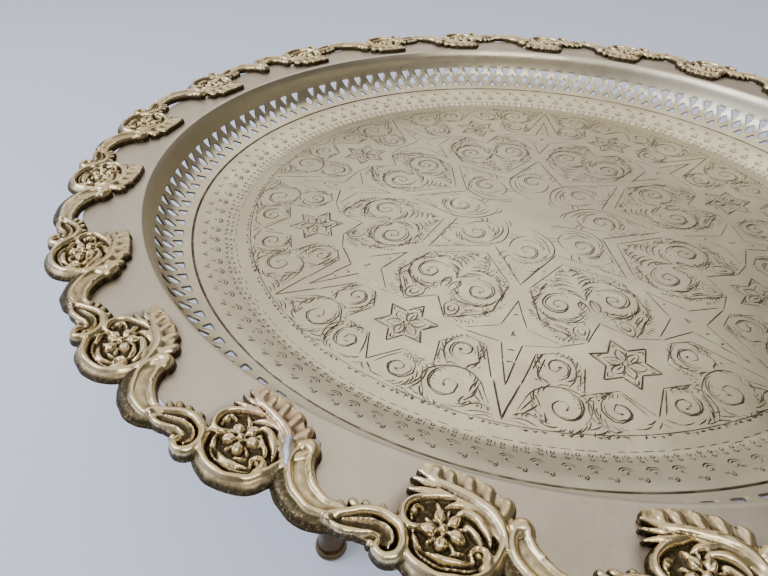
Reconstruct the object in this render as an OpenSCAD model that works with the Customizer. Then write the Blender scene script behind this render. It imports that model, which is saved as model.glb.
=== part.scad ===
// Footed round serving tray: a spun sheet tray with a pierced cove wall and a
// flat flange, a ring of cast scroll units along the flange, and screw-in
// turned legs. Origin: centre of the tray floor's top face. +Z is up.

/* [Tray] */
// Radius of the inner edge of the rolled lip
lip_r = 240; // [200:1:280]
// Outer radius of the flat flange
flange_r = 271; // [262:1:275]
// Height of the lip above the tray floor
lip_h = 35; // [30:1:40]
// Thickness of the sheet
sheet_t = 1.2; // [1:0.1:1.6]
// Radius of the flat part of the floor
floor_r = 195; // [190:1:198]

/* [Pierced wall] */
// Number of lens windows round the cove wall
window_count = 120; // [60:12:120]
// Length of a window along the wall
window_l = 9; // [6:0.5:10]
// Width of a window
window_w = 3.6; // [2:0.2:4]

/* [Cast rim] */
// Height of the flat body of a casting
cast_h = 3.2; // [2.8:0.2:4.4]
// Radius of a medallion
medal_r = 14; // [12:0.5:15]
// Radius of the circle through the medallion centres
medal_pitch_r = 269.5; // [266:0.5:271]
// Radius of the knob that ends a link scroll
knob_r = 3.9; // [3:0.1:4.5]

/* [Legs] */
// Distance of each leg from the tray axis
leg_circle_r = 210.5; // [206:0.5:210.5]
// Height of the feet's underside below the tray floor
leg_drop = 125; // [110:1:150]
// Radius of the foot disc
foot_r = 9.1; // [8:0.1:12]
// Direction of the first leg, counter-clockwise from +X
leg_angle_1 = 233.7; // [0:0.1:359]
// Radius of the threaded socket's outside
socket_r = 9; // [8:0.5:11]
// Radius of the threaded stud
stud_r = 4; // [3:0.5:5]
// Running clearance between the stud and the socket
stud_gap = 0.05; // [0.02:0.01:0.1]
// Length of thread in the socket
thread_l = 10; // [8:1:10]

/* [Hidden] */
$fn = 96;
sheet_c = [0.80, 0.77, 0.71];
cast_c = [0.78, 0.69, 0.47];
leg_c = [0.30, 0.22, 0.12];
boss_c = [0.66, 0.58, 0.42];
washer_c = [0.35, 0.24, 0.15];
// directions of the medallions, counter-clockwise from +X, in ring order
unit_angles = [269, 253, 237, 221, 205, 187.5, 170.5, 152.5, 130.5, 112.5, 96,
  78, 62, 46, 29, 12, -5, -22.5, -39.5, -56.5, -74];
units = len(unit_angles);
// the unit after which the filler scroll sits, going clockwise
filler_after = 7;
flange_z = lip_h + 1.6;
// angle from a medallion centre to the knob that meets it
knob_lead = 4.5;
leg_angles = [leg_angle_1, leg_angle_1 + 120, leg_angle_1 + 240];
leg_top = -11;
washer_t = 2;
socket_low = leg_top + washer_t;

// Height of the sheet's top face, floor to flange, as radius and height
top_profile = [[0, 0], [floor_r, 0], [205, 3.3], [212, 6], [220, 8.2],
  [224, 9.6], [228, 11.4], [231.6, 13.7], [234, 16.5], [236, 20.2],
  [238.2, 27], [239.6, 33.4], [241, lip_h + 0.9], [243.5, flange_z],
  [flange_r, flange_z]];

function unit2(v) = v / norm(v);
function edge_normal(p, i) = let (d = unit2(p[i + 1] - p[i])) [d[1], -d[0]];
function join_normal(p, i) =
  i == 0 ? [0, -1] : i == len(p) - 1 ? [0, -1] :
  let (n1 = edge_normal(p, i - 1), n2 = edge_normal(p, i), m = unit2(n1 + n2))
  m / (m * n1);
function under(p, t) = [for (i = [len(p) - 1:-1:0]) p[i] + t * join_normal(p, i)];
bottom_profile = under(top_profile, sheet_t);

// A point at polar position a degrees, radius r
function pol(a, r) = [r * cos(a), r * sin(a)];

module window_2d() {
  // a lens bounded by two arcs
  rr = (window_l * window_l / 4 + window_w * window_w / 4) / window_w;
  intersection() {
    translate([0, rr - window_w / 2]) circle(r = rr);
    translate([0, window_w / 2 - rr]) circle(r = rr);
  }
}

// One ring of the sheet, between profile points i and j. Neighbouring rings
// meet face to face.
module sheet_ring(i, j) {
  n = len(top_profile);
  rotate_extrude($fn = 180)
    polygon(concat([for (k = [i:j]) top_profile[k]],
      [for (k = [j:-1:i]) bottom_profile[n - 1 - k]]));
}

module tray_floor() { color(sheet_c) sheet_ring(0, 1); }

module floor_border() { color(sheet_c) sheet_ring(1, 4); }

module pierced_wall() {
  color(sheet_c)
  difference() {
    sheet_ring(4, 12);
    for (i = [0:window_count - 1])
      rotate([0, 0, i * 360 / window_count])
        translate([231.4, 0, 14.2]) rotate([0, -47, 0])
          translate([0, 0, -3.5]) linear_extrude(height = 7) window_2d();
  }
}

module rim_flange() { color(sheet_c) sheet_ring(12, 14); }

// The link scroll: a bent strap from angle a0 to a1 with its crown outwards
module strap_2d(a0, a1, r0, r1, rise, w0, w1) {
  n = 10;
  outer = [for (i = [0:n]) let (t = i / n, w = w0 + (w1 - w0) * t)
    pol(a0 + (a1 - a0) * t, r0 + (r1 - r0) * t + rise * sin(180 * t) + w / 2)];
  inner = [for (i = [n:-1:0]) let (t = i / n, w = w0 + (w1 - w0) * t)
    pol(a0 + (a1 - a0) * t, r0 + (r1 - r0) * t + rise * sin(180 * t) - w / 2)];
  polygon(concat(outer, inner));
}

// The leaf wing inside the medallion, with five lobes, tip pointing inwards
module leaf_2d(a) {
  u = [[-17, 266], [-18, 262], [-14, 257], [-12, 253.5], [-10, 255], [-7.5, 250.5],
    [-5.5, 252.5], [-3, 248.5], [-1, 250.5], [2, 247], [4.5, 249], [8, 246],
    [10, 247.5], [13.5, 247], [15.5, 251], [14.5, 257], [12, 261], [0, 266]];
  polygon([for (q = u) pol(a - q[0] / q[1] * 57.3, q[1])]);
}

// One cast unit at angle a, its link ending gap degrees further clockwise
module casting(a, gap) {
  a_link = a - 6.4;
  a_knob = a - gap + knob_lead;
  color(cast_c)
  translate([0, 0, flange_z])
  union() {
    linear_extrude(height = cast_h)
      union() {
        for (u = [-1.2, 2.4])
          translate(pol(a - u / 4.7, medal_pitch_r)) circle(r = medal_r);
        leaf_2d(a);
        strap_2d(a - 2.2, a_link, 277, 271, -3, 7, 7);
        strap_2d(a_link + 0.3, a_knob + 0.2, 270.6, 267.2, 5.5, 7, 5.4);
        translate(pol(a_knob, 266.4)) circle(r = knob_r);
      }
    // raised border and flower boss of the medallion
    translate(concat(pol(a, medal_pitch_r), [cast_h - 0.6]))
      rotate_extrude() translate([medal_r - 2.6, 0]) circle(r = 2.2, $fn = 32);
    translate(concat(pol(a, medal_pitch_r), [cast_h - 1.2])) {
      cylinder(h = 3.2, r1 = 7.2, r2 = 2.6);
    }
  }
}

// The extra scroll that bridges the wide gap in the ring
module filler_scroll() {
  a0 = unit_angles[filler_after] - 17.2 + knob_lead;
  a1 = unit_angles[filler_after + 1] + knob_lead;
  color(cast_c)
  translate([0, 0, flange_z])
  union() {
    linear_extrude(height = cast_h) strap_2d(a0 - 0.92, a1 + 0.1, 267, 266.4, 3, 5.4, 5.4);
    translate(pol(a1, 266.4)) cylinder(h = cast_h + 0.8, r = knob_r);
  }
}

module nth_casting(i) {
  next = i == units - 1 ? unit_angles[0] - 360 : unit_angles[i + 1];
  gap = i == filler_after ? 17.2 : unit_angles[i] - next;
  casting(unit_angles[i], gap);
}

module at_leg(i) {
  translate(concat(pol(leg_angles[i], leg_circle_r), [0])) children();
}

// Threaded socket, soldered face to face under the sloping annulus
module leg_socket(i) {
  color(boss_c)
  difference() {
    at_leg(i) translate([0, 0, socket_low]) cylinder(h = 30, r = socket_r);
    // everything above the underside of the sheet
    rotate_extrude($fn = 180)
      polygon(concat([[150, 60], [150, -sheet_t]],
        [for (k = [1:5]) bottom_profile[len(bottom_profile) - 1 - k]],
        [[235, 60]]));
    at_leg(i) translate([0, 0, socket_low - 1])
      cylinder(h = thread_l + 1.6, r = stud_r + stud_gap);
  }
}

module leg_washer(i) {
  color(washer_c) at_leg(i) translate([0, 0, leg_top])
    difference() {
      cylinder(h = washer_t, r = socket_r - 0.6);
      translate([0, 0, -1]) cylinder(h = washer_t + 2, r = stud_r + stud_gap);
    }
}

// Stud pressed into the leg, standing up through the washer into the socket
module leg_stud(i) {
  color(boss_c) at_leg(i) translate([0, 0, leg_top - 14])
    cylinder(h = 14 + washer_t + thread_l, r = stud_r);
}

module turned_leg(i) {
  h = leg_drop + leg_top;
  color(leg_c) at_leg(i) translate([0, 0, -leg_drop])
    difference() {
      rotate_extrude()
        polygon([[0, 0], [foot_r - 0.7, 0], [foot_r, 0.8], [foot_r, 2.6],
          [foot_r - 0.7, 3.2], [foot_r - 0.2, 4.2], [foot_r - 0.9, 5.4],
          [foot_r - 2.2, 6.6], [7, 9], [6.5, 13], [6.2, 20], [5.8, 34],
          [5.6, 44], [7.6, 46], [7.6, 48.6], [5.8, 50.4], [6.6, 58],
          [8.2, 70], [8.9, 80], [8.2, 89], [6.2, 96], [5.6, 99], [7.8, 101],
          [7.8, 103.4], [6.4, 105], [8.4, h - 3], [8.4, h], [0, h]]);
      translate([0, 0, h - 14]) cylinder(h = 20, r = stud_r);
    }
}

tray_floor();
floor_border();
pierced_wall();
rim_flange();
nth_casting(0);  // rim_casting_01
nth_casting(1);  // rim_casting_02
nth_casting(2);  // rim_casting_03
nth_casting(3);  // rim_casting_04
nth_casting(4);  // rim_casting_05
nth_casting(5);  // rim_casting_06
nth_casting(6);  // rim_casting_07
nth_casting(7);  // rim_casting_08
nth_casting(8);  // rim_casting_09
nth_casting(9);  // rim_casting_10
nth_casting(10);  // rim_casting_11
nth_casting(11);  // rim_casting_12
nth_casting(12);  // rim_casting_13
nth_casting(13);  // rim_casting_14
nth_casting(14);  // rim_casting_15
nth_casting(15);  // rim_casting_16
nth_casting(16);  // rim_casting_17
nth_casting(17);  // rim_casting_18
nth_casting(18);  // rim_casting_19
nth_casting(19);  // rim_casting_20
nth_casting(20);  // rim_casting_21
filler_scroll();
leg_socket(0);  // leg_socket_1
leg_socket(1);  // leg_socket_2
leg_socket(2);  // leg_socket_3
leg_washer(0);  // leg_washer_1
leg_washer(1);  // leg_washer_2
leg_washer(2);  // leg_washer_3
leg_stud(0);  // leg_stud_1
leg_stud(1);  // leg_stud_2
leg_stud(2);  // leg_stud_3
turned_leg(0);  // turned_leg_1
turned_leg(1);  // turned_leg_2
turned_leg(2);  // turned_leg_3
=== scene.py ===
import math
import bpy
import numpy as np
from mathutils import Matrix, Vector
from mathutils.geometry import delaunay_2d_cdt


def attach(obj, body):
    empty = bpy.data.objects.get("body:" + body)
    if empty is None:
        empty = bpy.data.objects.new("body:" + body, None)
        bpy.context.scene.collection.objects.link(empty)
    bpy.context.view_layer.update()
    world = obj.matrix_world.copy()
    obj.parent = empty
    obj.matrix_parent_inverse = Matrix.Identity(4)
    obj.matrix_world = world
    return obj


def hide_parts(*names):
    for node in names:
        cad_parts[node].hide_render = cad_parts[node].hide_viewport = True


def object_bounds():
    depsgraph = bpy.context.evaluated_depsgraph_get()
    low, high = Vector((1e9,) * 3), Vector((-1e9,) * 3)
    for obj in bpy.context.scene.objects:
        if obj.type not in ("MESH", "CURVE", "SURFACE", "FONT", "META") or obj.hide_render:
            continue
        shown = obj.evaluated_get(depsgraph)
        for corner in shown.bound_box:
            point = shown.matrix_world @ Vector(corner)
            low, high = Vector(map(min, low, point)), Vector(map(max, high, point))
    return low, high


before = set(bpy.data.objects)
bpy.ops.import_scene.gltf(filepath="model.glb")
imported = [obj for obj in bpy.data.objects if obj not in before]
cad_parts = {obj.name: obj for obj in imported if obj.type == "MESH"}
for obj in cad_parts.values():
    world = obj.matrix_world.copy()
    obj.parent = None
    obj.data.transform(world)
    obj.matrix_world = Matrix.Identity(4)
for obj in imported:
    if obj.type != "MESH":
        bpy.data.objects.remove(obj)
CAD_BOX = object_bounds()
MM = 0.001
R0 = 240.0            # lip radius, mm
rad, deg = math.radians, math.degrees

# ------------------------------------------------------------------ helpers

def hash_noise(ix, iy, seed):
    """A repeatable value in 0..1 for each whole-number lattice point."""
    h = (ix * 374761393 + iy * 668265263 + seed * 974711) & 0x7fffffff
    h = ((h ^ (h >> 13)) * 1274126177) & 0x7fffffff
    h = h ^ (h >> 16)
    return (h & 0xffff) / 65535.0


def noise2(x, y, scale, seed=0):
    """Smooth value noise in -1..1."""
    x = np.asarray(x, float) / scale + 1000.0
    y = np.asarray(y, float) / scale + 1000.0
    ix, iy = np.floor(x).astype(np.int64), np.floor(y).astype(np.int64)
    fx, fy = x - ix, y - iy
    fx, fy = fx * fx * (3 - 2 * fx), fy * fy * (3 - 2 * fy)
    v = (hash_noise(ix, iy, seed) * (1 - fx) + hash_noise(ix + 1, iy, seed) * fx) * (1 - fy) \
        + (hash_noise(ix, iy + 1, seed) * (1 - fx) + hash_noise(ix + 1, iy + 1, seed) * fx) * fy
    return v * 2 - 1


def make_object(name, verts_mm, faces, mats, attrs=None, smooth=True, mat_index=None):
    """A mesh object from vertices in millimetres in the row frame."""
    me = bpy.data.meshes.new(name)
    verts = np.asarray(verts_mm, float) * MM
    if isinstance(faces, np.ndarray):
        n, k = faces.shape
        me.vertices.add(len(verts))
        me.vertices.foreach_set("co", verts.astype(np.float32).ravel())
        me.loops.add(n * k)
        me.loops.foreach_set("vertex_index", faces.astype(np.int32).ravel())
        me.polygons.add(n)
        me.polygons.foreach_set("loop_start", np.arange(0, n * k, k, dtype=np.int32))
        me.update(calc_edges=True)
    else:
        me.from_pydata([tuple(v) for v in verts], [], faces)
    me.validate()
    for m in (mats if isinstance(mats, (list, tuple)) else [mats]):
        me.materials.append(m)
    me.polygons.foreach_set("use_smooth", np.full(len(me.polygons), bool(smooth)))
    if mat_index is not None:
        me.polygons.foreach_set("material_index", np.asarray(mat_index, np.int32))
    for key, values in (attrs or {}).items():
        a = me.attributes.new(key, "FLOAT", "POINT")
        a.data.foreach_set("value", np.asarray(values, np.float32))
    me.update()
    ob = bpy.data.objects.new(name, me)
    bpy.context.scene.collection.objects.link(ob)
    return ob


def catmull(points, n):
    """A smooth path through rows of numbers; every column is interpolated."""
    p = np.asarray(points, float)
    if len(p) == 2:
        t = np.linspace(0, 1, n)[:, None]
        return p[0] * (1 - t) + p[1] * t
    p = np.vstack([2 * p[0] - p[1], p, 2 * p[-1] - p[-2]])
    seg = len(p) - 3
    out = []
    for t in np.linspace(0, seg, n):
        i = min(int(t), seg - 1)
        f = t - i
        a, b, c, d = p[i], p[i + 1], p[i + 2], p[i + 3]
        out.append(0.5 * (2 * b + (c - a) * f + (2 * a - 5 * b + 4 * c - d) * f * f
                          + (3 * b - a - 3 * c + d) * f ** 3))
    return np.array(out)

# ---------------------------------------------------------------- materials

class Nodes:
    """A short way to write a shader's nodes."""
    def __init__(self, name):
        self.m = bpy.data.materials.new(name)
        self.m.use_nodes = True
        self.t = self.m.node_tree
        self.t.nodes.clear()
        self.out = self.add("ShaderNodeOutputMaterial")
        self.b = self.add("ShaderNodeBsdfPrincipled")
        self.t.links.new(self.b.outputs[0], self.out.inputs[0])

    def add(self, kind, **props):
        n = self.t.nodes.new(kind)
        for k, v in props.items():
            setattr(n, k, v)
        return n

    def link(self, a, b):
        self.t.links.new(a, b)

    def coords(self):
        return self.add("ShaderNodeTexCoord").outputs["Object"]

    def noise(self, vec, scale, detail=4.0, rough=0.55, distort=0.0):
        n = self.add("ShaderNodeTexNoise")
        n.inputs["Scale"].default_value = scale
        n.inputs["Detail"].default_value = detail
        n.inputs["Roughness"].default_value = rough
        n.inputs["Distortion"].default_value = distort
        self.link(vec, n.inputs["Vector"])
        return n.outputs["Fac"]

    def ramp(self, fac, *stops):
        r = self.add("ShaderNodeValToRGB")
        e = r.color_ramp.elements
        while len(e) < len(stops):
            e.new(0.5)
        for el, (pos, col) in zip(e, stops):
            el.position = pos
            el.color = (*col, 1) if hasattr(col, "__len__") else (col, col, col, 1)
        self.link(fac, r.inputs[0])
        return r.outputs[0]

    def math(self, op, a, b=None, clamp=False):
        n = self.add("ShaderNodeMath", operation=op, use_clamp=clamp)
        for i, v in enumerate((a, b)):
            if v is None:
                continue
            if isinstance(v, (int, float)):
                n.inputs[i].default_value = v
            else:
                self.link(v, n.inputs[i])
        return n.outputs[0]

    def mix(self, fac, a, b, blend="MIX"):
        n = self.add("ShaderNodeMix", data_type="RGBA", blend_type=blend)
        for i, v in ((0, fac), (6, a), (7, b)):
            if isinstance(v, (int, float)):
                n.inputs[i].default_value = v
            elif isinstance(v, tuple):
                n.inputs[i].default_value = (*v, 1)
            else:
                self.link(v, n.inputs[i])
        return n.outputs[2]

    def attr(self, name):
        return self.add("ShaderNodeAttribute", attribute_name=name).outputs["Fac"]

    def bump(self, height, strength, distance, normal=None):
        n = self.add("ShaderNodeBump")
        n.inputs["Strength"].default_value = strength
        n.inputs["Distance"].default_value = distance
        self.link(height, n.inputs["Height"])
        if normal is not None:
            self.link(normal, n.inputs["Normal"])
        return n.outputs[0]

    def radius(self):
        """Distance from the tray's axis, in metres."""
        s = self.add("ShaderNodeSeparateXYZ")
        self.link(self.coords(), s.inputs[0])
        x2 = self.math("MULTIPLY", s.outputs[0], s.outputs[0])
        y2 = self.math("MULTIPLY", s.outputs[1], s.outputs[1])
        return self.math("SQRT", self.math("ADD", x2, y2))


def sheet_material(name, engraved=False, under=False):
    n = Nodes(name)
    c = n.coords()
    big = n.noise(c, 9.0, 5.0, 0.6, 0.3)
    mid = n.noise(c, 55.0, 6.0, 0.62)
    fine = n.noise(c, 420.0, 4.0, 0.6)
    if under:
        col = n.ramp(big, (0.32, (0.36, 0.29, 0.19)), (0.55, (0.46, 0.39, 0.27)), (0.75, (0.52, 0.46, 0.35)))
    else:
        col = n.ramp(big, (0.30, (0.622, 0.560, 0.408)), (0.52, (0.688, 0.630, 0.474)), (0.74, (0.742, 0.690, 0.536)))
    spots = n.ramp(mid, (0.36, 0.0), (0.62, 1.0))
    col = n.mix(n.math("MULTIPLY", spots, 0.30), col, (0.55, 0.48, 0.36), "MIX")
    # tarnish freckles
    fre = n.ramp(n.noise(c, 240.0, 3.0, 0.7), (0.64, 0.0), (0.74, 1.0))
    col = n.mix(n.math("MULTIPLY", fre, 0.28), col, (0.24, 0.19, 0.12))
    if engraved:
        # painted shade: the groove mask darkens the metal along the engraved cuts and round the wall's holes
        g = n.attr("groove")
        dark = n.ramp(g, (0.02, 0.0), (0.22, 0.80), (0.50, 1.0))
        breakup = n.ramp(n.noise(c, 130.0, 2.0, 0.5), (0.30, 0.62), (0.58, 1.0))
        col = n.mix(n.math("MULTIPLY", dark, breakup), col, (0.105, 0.086, 0.058))
    n.link(col, n.b.inputs["Base Color"])
    n.b.inputs["Metallic"].default_value = 1.0
    rough = n.ramp(mid, (0.30, 0.27 if not under else 0.42), (0.70, 0.40 if not under else 0.58))
    n.link(rough, n.b.inputs["Roughness"])
    # slight waves from spinning and polishing, fine scratches
    wav = n.noise(c, 16.0, 2.0, 0.5)
    b1 = n.bump(wav, 0.40, 0.004)
    st = n.add("ShaderNodeMapping")
    st.inputs["Scale"].default_value = (1.0, 14.0, 1.0)
    st.inputs["Rotation"].default_value = (0, 0, 0.6)
    n.link(c, st.inputs["Vector"])
    scr = n.noise(st.outputs[0], 260.0, 3.0, 0.65)
    b2 = n.bump(scr, 0.12, 0.0006, b1)
    b3 = n.bump(fine, 0.12, 0.0004, b2)
    n.link(b3, n.b.inputs["Normal"])
    return n.m


def flange_material(name):
    n = Nodes(name)
    c = n.coords()
    big = n.noise(c, 10.0, 5.0, 0.6, 0.4)
    mid = n.noise(c, 60.0, 6.0, 0.62)
    col = n.ramp(big, (0.30, (0.545, 0.475, 0.378)), (0.52, (0.615, 0.545, 0.448)), (0.74, (0.670, 0.610, 0.513)))
    # pink and bronze heat tint next to the soldered castings
    heat = n.attr("heat")
    tint = n.mix(n.ramp(n.noise(c, 45.0, 3.0, 0.6), (0.38, 0.0), (0.62, 1.0)), (0.62, 0.385, 0.315), (0.60, 0.445, 0.27))
    col = n.mix(n.math("MULTIPLY", heat, 0.92), col, tint)
    # darker round the foot of each casting
    foot_dark = n.attr("foot_dark")
    col = n.mix(n.math("MULTIPLY", foot_dark, 0.8), col, (0.20, 0.155, 0.12))
    spots = n.ramp(mid, (0.40, 0.0), (0.66, 1.0))
    col = n.mix(n.math("MULTIPLY", spots, 0.22), col, (0.55, 0.50, 0.44))
    n.link(col, n.b.inputs["Base Color"])
    n.b.inputs["Metallic"].default_value = 1.0
    n.link(n.ramp(mid, (0.30, 0.36), (0.70, 0.50)), n.b.inputs["Roughness"])
    b1 = n.bump(n.noise(c, 30.0, 3.0, 0.5), 0.30, 0.003)
    b2 = n.bump(n.noise(c, 500.0, 4.0, 0.6), 0.12, 0.0004, b1)
    n.link(b2, n.b.inputs["Normal"])
    return n.m


def cast_material(name):
    n = Nodes(name)
    c = n.coords()
    cav = n.attr("cavity")
    big = n.noise(c, 24.0, 4.0, 0.6)
    mid = n.noise(c, 260.0, 5.0, 0.65)
    high = n.ramp(big, (0.30, (0.640, 0.500, 0.270)), (0.55, (0.760, 0.630, 0.380)), (0.78, (0.860, 0.760, 0.540)))
    low = n.ramp(mid, (0.30, (0.040, 0.029, 0.016)), (0.70, (0.130, 0.096, 0.052)))
    f = n.math("ADD", cav, n.math("MULTIPLY", n.math("SUBTRACT", mid, 0.5), 0.40), clamp=True)
    f = n.ramp(f, (0.20, 0.0), (0.62, 1.0))
    col = n.mix(f, high, low)
    # rosy tint where the torch was held longest
    col = n.mix(n.math("MULTIPLY", n.attr("warm"), 0.42), col, n.mix(f, (0.74, 0.49, 0.36), (0.16, 0.085, 0.06)))
    # dark, speckled sides
    spk = n.ramp(n.noise(c, 800.0, 3.0, 0.7), (0.54, 0.0), (0.68, 1.0))
    flank = n.attr("flank")
    col = n.mix(n.math("MULTIPLY", flank, 0.95), col, n.mix(spk, (0.040, 0.030, 0.015), (0.26, 0.20, 0.105)))
    n.link(col, n.b.inputs["Base Color"])
    n.b.inputs["Metallic"].default_value = 1.0
    r = n.mix(f, n.ramp(mid, (0.3, 0.17), (0.7, 0.30)), (0.55, 0.55, 0.55))
    r = n.mix(n.math("MULTIPLY", flank, 0.8), r, (0.46, 0.46, 0.46))
    n.link(r, n.b.inputs["Roughness"])
    b1 = n.bump(n.noise(c, 900.0, 3.0, 0.6), 0.12, 0.0003)
    b2 = n.bump(mid, 0.16, 0.0006, b1)
    n.link(b2, n.b.inputs["Normal"])
    return n.m


def solder_material():
    n = Nodes("solder")
    c = n.coords()
    a = n.noise(c, 180.0, 4.0, 0.6)
    n.link(n.ramp(a, (0.3, (0.46, 0.47, 0.52)), (0.7, (0.66, 0.67, 0.72))), n.b.inputs["Base Color"])
    n.b.inputs["Metallic"].default_value = 0.9
    n.link(n.ramp(a, (0.3, 0.36), (0.7, 0.55)), n.b.inputs["Roughness"])
    n.link(n.bump(n.noise(c, 600.0, 3.0, 0.6), 0.3, 0.0005), n.b.inputs["Normal"])
    return n.m


def leg_material():
    n = Nodes("leg_bronze")
    c = n.coords()
    a = n.noise(c, 60.0, 5.0, 0.62)
    s = n.noise(c, 520.0, 3.0, 0.6)
    col = n.ramp(a, (0.28, (0.045, 0.027, 0.012)), (0.55, (0.095, 0.058, 0.024)), (0.80, (0.18, 0.115, 0.048)))
    wear = n.ramp(n.add("ShaderNodeNewGeometry").outputs["Pointiness"], (0.50, 0.0), (0.56, 1.0))
    col = n.mix(n.math("MULTIPLY", wear, 0.55), col, (0.55, 0.42, 0.22))
    n.link(col, n.b.inputs["Base Color"])
    n.b.inputs["Metallic"].default_value = 1.0
    n.link(n.ramp(a, (0.3, 0.24), (0.7, 0.40)), n.b.inputs["Roughness"])
    st = n.add("ShaderNodeMapping")
    st.inputs["Scale"].default_value = (1.0, 1.0, 22.0)
    n.link(c, st.inputs["Vector"])
    turn = n.noise(st.outputs[0], 90.0, 2.0, 0.5)
    b1 = n.bump(turn, 0.25, 0.0004)
    n.link(n.bump(s, 0.12, 0.0003, b1), n.b.inputs["Normal"])
    return n.m


def brass_material(name, dark=0.0):
    n = Nodes(name)
    c = n.coords()
    a = n.noise(c, 90.0, 5.0, 0.62)
    col = n.ramp(a, (0.3, (0.40, 0.31, 0.17)), (0.7, (0.62, 0.51, 0.30)))
    col = n.mix(dark, col, (0.18, 0.12, 0.06))
    n.link(col, n.b.inputs["Base Color"])
    n.b.inputs["Metallic"].default_value = 1.0
    n.link(n.ramp(a, (0.3, 0.32), (0.7, 0.52)), n.b.inputs["Roughness"])
    w = n.add("ShaderNodeTexWave", wave_type="BANDS", bands_direction="Z")
    w.inputs["Scale"].default_value = 250.0
    n.link(c, w.inputs["Vector"])
    n.link(n.bump(w.outputs["Fac"], 0.2, 0.0003), n.b.inputs["Normal"])
    return n.m


def leather_material():
    n = Nodes("washer_leather")
    c = n.coords()
    v = n.add("ShaderNodeTexVoronoi")
    v.inputs["Scale"].default_value = 1400.0
    n.link(c, v.inputs["Vector"])
    a = n.noise(c, 300.0, 4.0, 0.6)
    n.link(n.ramp(a, (0.3, (0.10, 0.058, 0.032)), (0.7, (0.20, 0.125, 0.075))), n.b.inputs["Base Color"])
    n.b.inputs["Roughness"].default_value = 0.72
    n.link(n.bump(v.outputs["Distance"], 0.4, 0.0003), n.b.inputs["Normal"])
    return n.m


M_FLOOR = sheet_material("plated_engraved", engraved=True)
M_WALL = sheet_material("plated_wall", engraved=True)
M_UNDER = sheet_material("plated_under", under=True)
M_FLANGE = flange_material("plated_flange")
M_CAST = cast_material("cast_rim")
M_SOLDER = solder_material()
M_LEG = leg_material()
M_BRASS = brass_material("socket_brass")
M_STUD = brass_material("stud_brass", 0.3)
M_LEATHER = leather_material()

# ------------------------------------------------------ the tray's section

TOP = np.array([[0, 0], [195, 0], [205, 3.3], [212, 6], [220, 8.2], [224, 9.6], [228, 11.4],
                [231.6, 13.7], [234, 16.5], [236, 20.2], [238.2, 27], [239.6, 33.4],
                [241, 35.9], [243.5, 36.6], [271, 36.6]], float)
SHEET = 1.2
# ------------------------------------------------------------- rim castings
# Each casting is a height field over (u, v): u runs clockwise along the rim in
# millimetres from the middle of the flower, v is the radius.  Strokes are
# ridges with their own width and height; together they make the relief.

FLANGE_Z = 36.6
R_RING = 268.0
UNIT_ANGLES = [269, 253, 237, 221, 205, 187.5, 170.5, 152.5, 130.5, 112.5, 96, 78,
               62, 46, 29, 12, -5, -22.5, -39.5, -56.5, -74]
GRID = 0.42


class Relief:
    def __init__(self, u0, u1, v0, v1, step=None):
        self.step = step or GRID
        self.us = np.arange(u0, u1 + self.step, self.step)
        self.vs = np.arange(v0, v1 + self.step, self.step)
        self.U, self.V = np.meshgrid(self.us, self.vs, indexing="ij")
        self.H = np.full(self.U.shape, -9.0)
        self.S = np.full(self.U.shape, -9.0)
        self.T = np.zeros(self.U.shape)
        self.wu = self.wv = 0.0

    def warp(self, amp, scale, seed):
        self.wu = amp * noise2(self.U, self.V, scale, seed)
        self.wv = amp * noise2(self.U + 77, self.V, scale, seed + 5)

    def stroke(self, pts, zb=3.4, flat=False, base=True, tone=0.0, grow=0.0):
        """pts rows: u, v, half width, top height.  flat gives a plate; tone darkens it."""
        p = np.asarray(pts, float)
        if len(p) == 1:
            q = p
        else:
            n = max(3, int(np.hypot(*np.diff(p[:, :2], axis=0).T).sum() / 0.28))
            q = catmull(p, n)
        q[:, 2] = np.maximum(q[:, 2], 0.15)
        m = q[:, 2].max() + 1.2
        a = (self.us > q[:, 0].min() - m) & (self.us < q[:, 0].max() + m)
        b = (self.vs > q[:, 1].min() - m) & (self.vs < q[:, 1].max() + m)
        if not a.any() or not b.any():
            return
        ia, ib = np.where(a)[0], np.where(b)[0]
        sl = (slice(ia[0], ia[-1] + 1), slice(ib[0], ib[-1] + 1))
        wu = self.wu[sl] if hasattr(self.wu, "shape") else 0
        wv = self.wv[sl] if hasattr(self.wv, "shape") else 0
        U, V = self.U[sl] + wu, self.V[sl] + wv
        H, S = self.H[sl], self.S[sl]
        for u, v, w, z in q:
            d2 = (U - u) ** 2 + (V - v) ** 2
            near = d2 < (w + 1.2) ** 2
            if not near.any():
                continue
            d = np.sqrt(d2[near])
            t = np.clip(1 - (d / w) ** 2, 0, 1)
            if flat:
                h = np.where(d < w, zb + 0 * d, -9.0)
            else:
                h = np.where(d < w, zb + (z - zb) * np.sqrt(t), -9.0)
            up_ = h > H[near]
            tn = self.T[sl][near]
            tn[up_] = tone
            self.T[sl][near] = tn
            H[near] = np.maximum(H[near], h)
            if base:
                S[near] = np.maximum(S[near], w + grow - d)
        self.H[sl], self.S[sl] = H, S


def shifted(pts, du=0.0, dv=0.0, f=None):
    out = []
    for p in pts:
        p = list(p)
        if f:
            p[0] = f(p[0])
        p[0] += du
        p[1] += dv
        out.append(p)
    return out


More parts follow.
